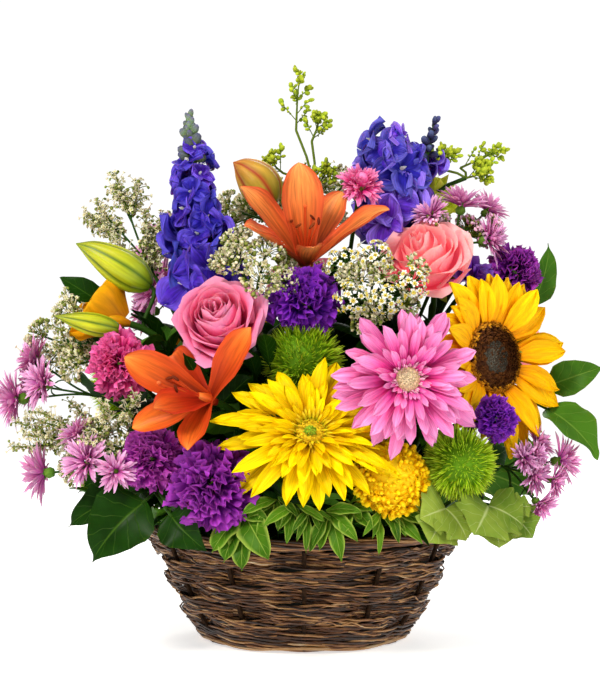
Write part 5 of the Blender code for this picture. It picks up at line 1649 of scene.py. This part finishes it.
# %% Make sprigs and set them over the foam
def sprig(name, length, pairs, seed):
    """A twig along +Y with opposite leaves that get shorter towards its tip."""
    rng = np.random.default_rng(seed)

    def bow(share):
        return Vector((0, length * share, length * 0.1 * math.sin(math.pi * share)))

    shapes = [loft("twig", [bow(i / 6) for i in range(7)], [1.2 * MM * (1 - 0.12 * i) for i in range(7)], 5)]
    for i in range(2 * pairs + 1):
        share = 0.2 + 0.8 * (i // 2) / pairs
        turn = 0 if i == 2 * pairs else (1, -1)[i % 2] * rng.uniform(0.75, 1.15)
        reach = length * (0.5 - 0.18 * share) * rng.uniform(0.85, 1.1)
        leaf = petal("leaf", reach, reach * 0.2, LANCE, bend=(rng.uniform(5, 35), -45), cup=0.5, ruffle=0.12,
                     thickness=0.4 * MM, seed=seed + i)
        leaf.transform(Matrix.Translation(bow(share)) @ spin(turn, "Z") @ spin(rng.uniform(-0.5, 0.5), "Y"))
        shapes.append(leaf)
    return fused(name, shapes)


SPRIGS = pattern("sprig", *[sprig(f"sprig_{seed}", 80 * MM, 6, seed) for seed in (1, 2, 3)])
SKIRT = petals("skirt_leaf", 4, length=46 * MM, half_width=12 * MM, outline=SALAL, bend=(10, -50), cup=0.3,
               ruffle=0.15, rows=8, columns=6)
FOAM_REACH, _, FOAM_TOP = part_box("floral_foam")[1]
DOME_FOOT = 62 * MM
layers = [whorl(kind, count, finish, FOAM_REACH * wide, FOAM_TOP - DOME_FOOT - 6 * MM, polar, tilt, size, ease=ease,
                jitter=jitter, seed=40 + i)
          for i, (kind, count, finish, wide, polar, ease, tilt, size, jitter) in enumerate((
              (SPRIGS, 34, LEAF_DARK, 0.66, (8, 62), 0.55, (88, 50), (1.7, 1.5), 0.2),
              (SPRIGS, 54, LEAF_DARK, 0.86, (4, 96), 0.55, (86, 24), (1.35, 0.8), 0.3),
              (SPRIGS, 26, LEAF_MID, 0.86, (20, 92), 0.6, (70, 30), (1.15, 0.75), 0.35),
              (SKIRT, 120, LEAF_DARK, 0.9, (10, 88), 0.6, (60, 16), (1.1, 0.8), 0.3)))]
greens = joined("filler_greens", [(layer, shift(DOME_FOOT)) for layer in layers])
places = np.array([vert.co for vert in greens.data.vertices])
rest_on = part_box("basket_rim")[1].z + 5 * MM
over_rim = (np.hypot(places[:, 0], places[:, 1]) > FOAM_REACH) & (places[:, 2] < rest_on)
places[over_rim, 2] = rest_on + 0.15 * (places[over_rim, 2] - rest_on)
greens.data.vertices.foreach_set("co", places.ravel())
greens.data.update()
ride(greens)
print("greens:", pieces["filler_greens"], "triangles over foam of", round(FOAM_REACH / MM), "mm radius")

# %% [markdown]
# ## Floor, light and camera
#
# A pale matte floor and a white surround stand for a table in a bright studio. One large soft light from the
# upper left gives the petals their shape, a weaker one fills from the right and a third lights the back. The
# camera looks level at the middle of the arrangement from 1.3 m, as for a product picture. The surround is
# brighter to the camera than to the flowers, so the ground looks white and the petals keep their colour.

# %% Stage
FLOOR_HALF, FLOOR_TOP = 3, -0.001
floor_mesh = bpy.data.meshes.new("floor")
floor_mesh.from_pydata([(FLOOR_HALF * x, FLOOR_HALF * y, FLOOR_TOP) for x, y in ((-1, -1), (1, -1), (1, 1), (-1, 1))],
                       [], [(0, 1, 2, 3)])
# A matte white sheet, lit from within a little so that it shows as plain white with a soft shadow.
floor_mesh.materials.append(plain_finish("lit_white_acrylic", "#f2f2f0 #f8f8f6", 5.0, 0.01, Roughness=0.9,
                                         Emission_Color=linear("#ffffff"), Emission_Strength=0.62))


def put(name, data, place, turn=(0, 0, 0)):
    made = bpy.data.objects.new(name, data)
    made.location, made.rotation_euler = place, turn
    scene.collection.objects.link(made)
    return made


def soft_light(name, place, aim_height, size, watts, tint="#ffffff"):
    light = bpy.data.lights.new(name, "AREA")
    light.shape, light.size, light.energy, light.color = "DISK", size, watts, linear(tint)[:3]
    put(name, light, place, (aim_height * UP - Vector(place)).to_track_quat("-Z", "Y").to_euler())


put("floor", floor_mesh, (0, 0, 0))
soft_light("key", (-0.9, -1.5, 1.7), 0.2, 0.7, 42, "#fffaf2")
soft_light("fill", (1.5, -1.4, 0.8), 0.2, 1.2, 11)
soft_light("back", (0.4, 1.6, 1.4), 0.25, 1.0, 14)

world = bpy.data.worlds.new("studio")
world.use_nodes = True
sky = world.node_tree.nodes["Background"]
sky.inputs["Color"].default_value = linear("#ffffff")
seen = add_node(world.node_tree, "LightPath").node.outputs["Is Camera Ray"]
strength = add_node(world.node_tree, "MapRange", seen, 0.0, 1.0, 0.42, 1.05)
world.node_tree.links.new(strength, sky.inputs["Strength"])
scene.world = world

lens = bpy.data.cameras.new("camera")
lens.sensor_width, lens.lens = 36, 87.97
scene.camera = put("camera", lens, (-0.003, -1.3, 0.2165), (math.pi / 2, 0, 0))
scene.view_settings.view_transform = "Standard"

# %% [markdown]
# ## Sizes
#
# The six largest pieces and the number of triangles in all. The petals may stand a little outside the
# imported solids.

# %% Sizes, then the end
for name, count in sorted(pieces.items(), key=lambda each: -each[1])[:6]:
    print(name, count, "triangles")
print(len(pieces), "pieces,", sum(pieces.values()), "triangles in all")
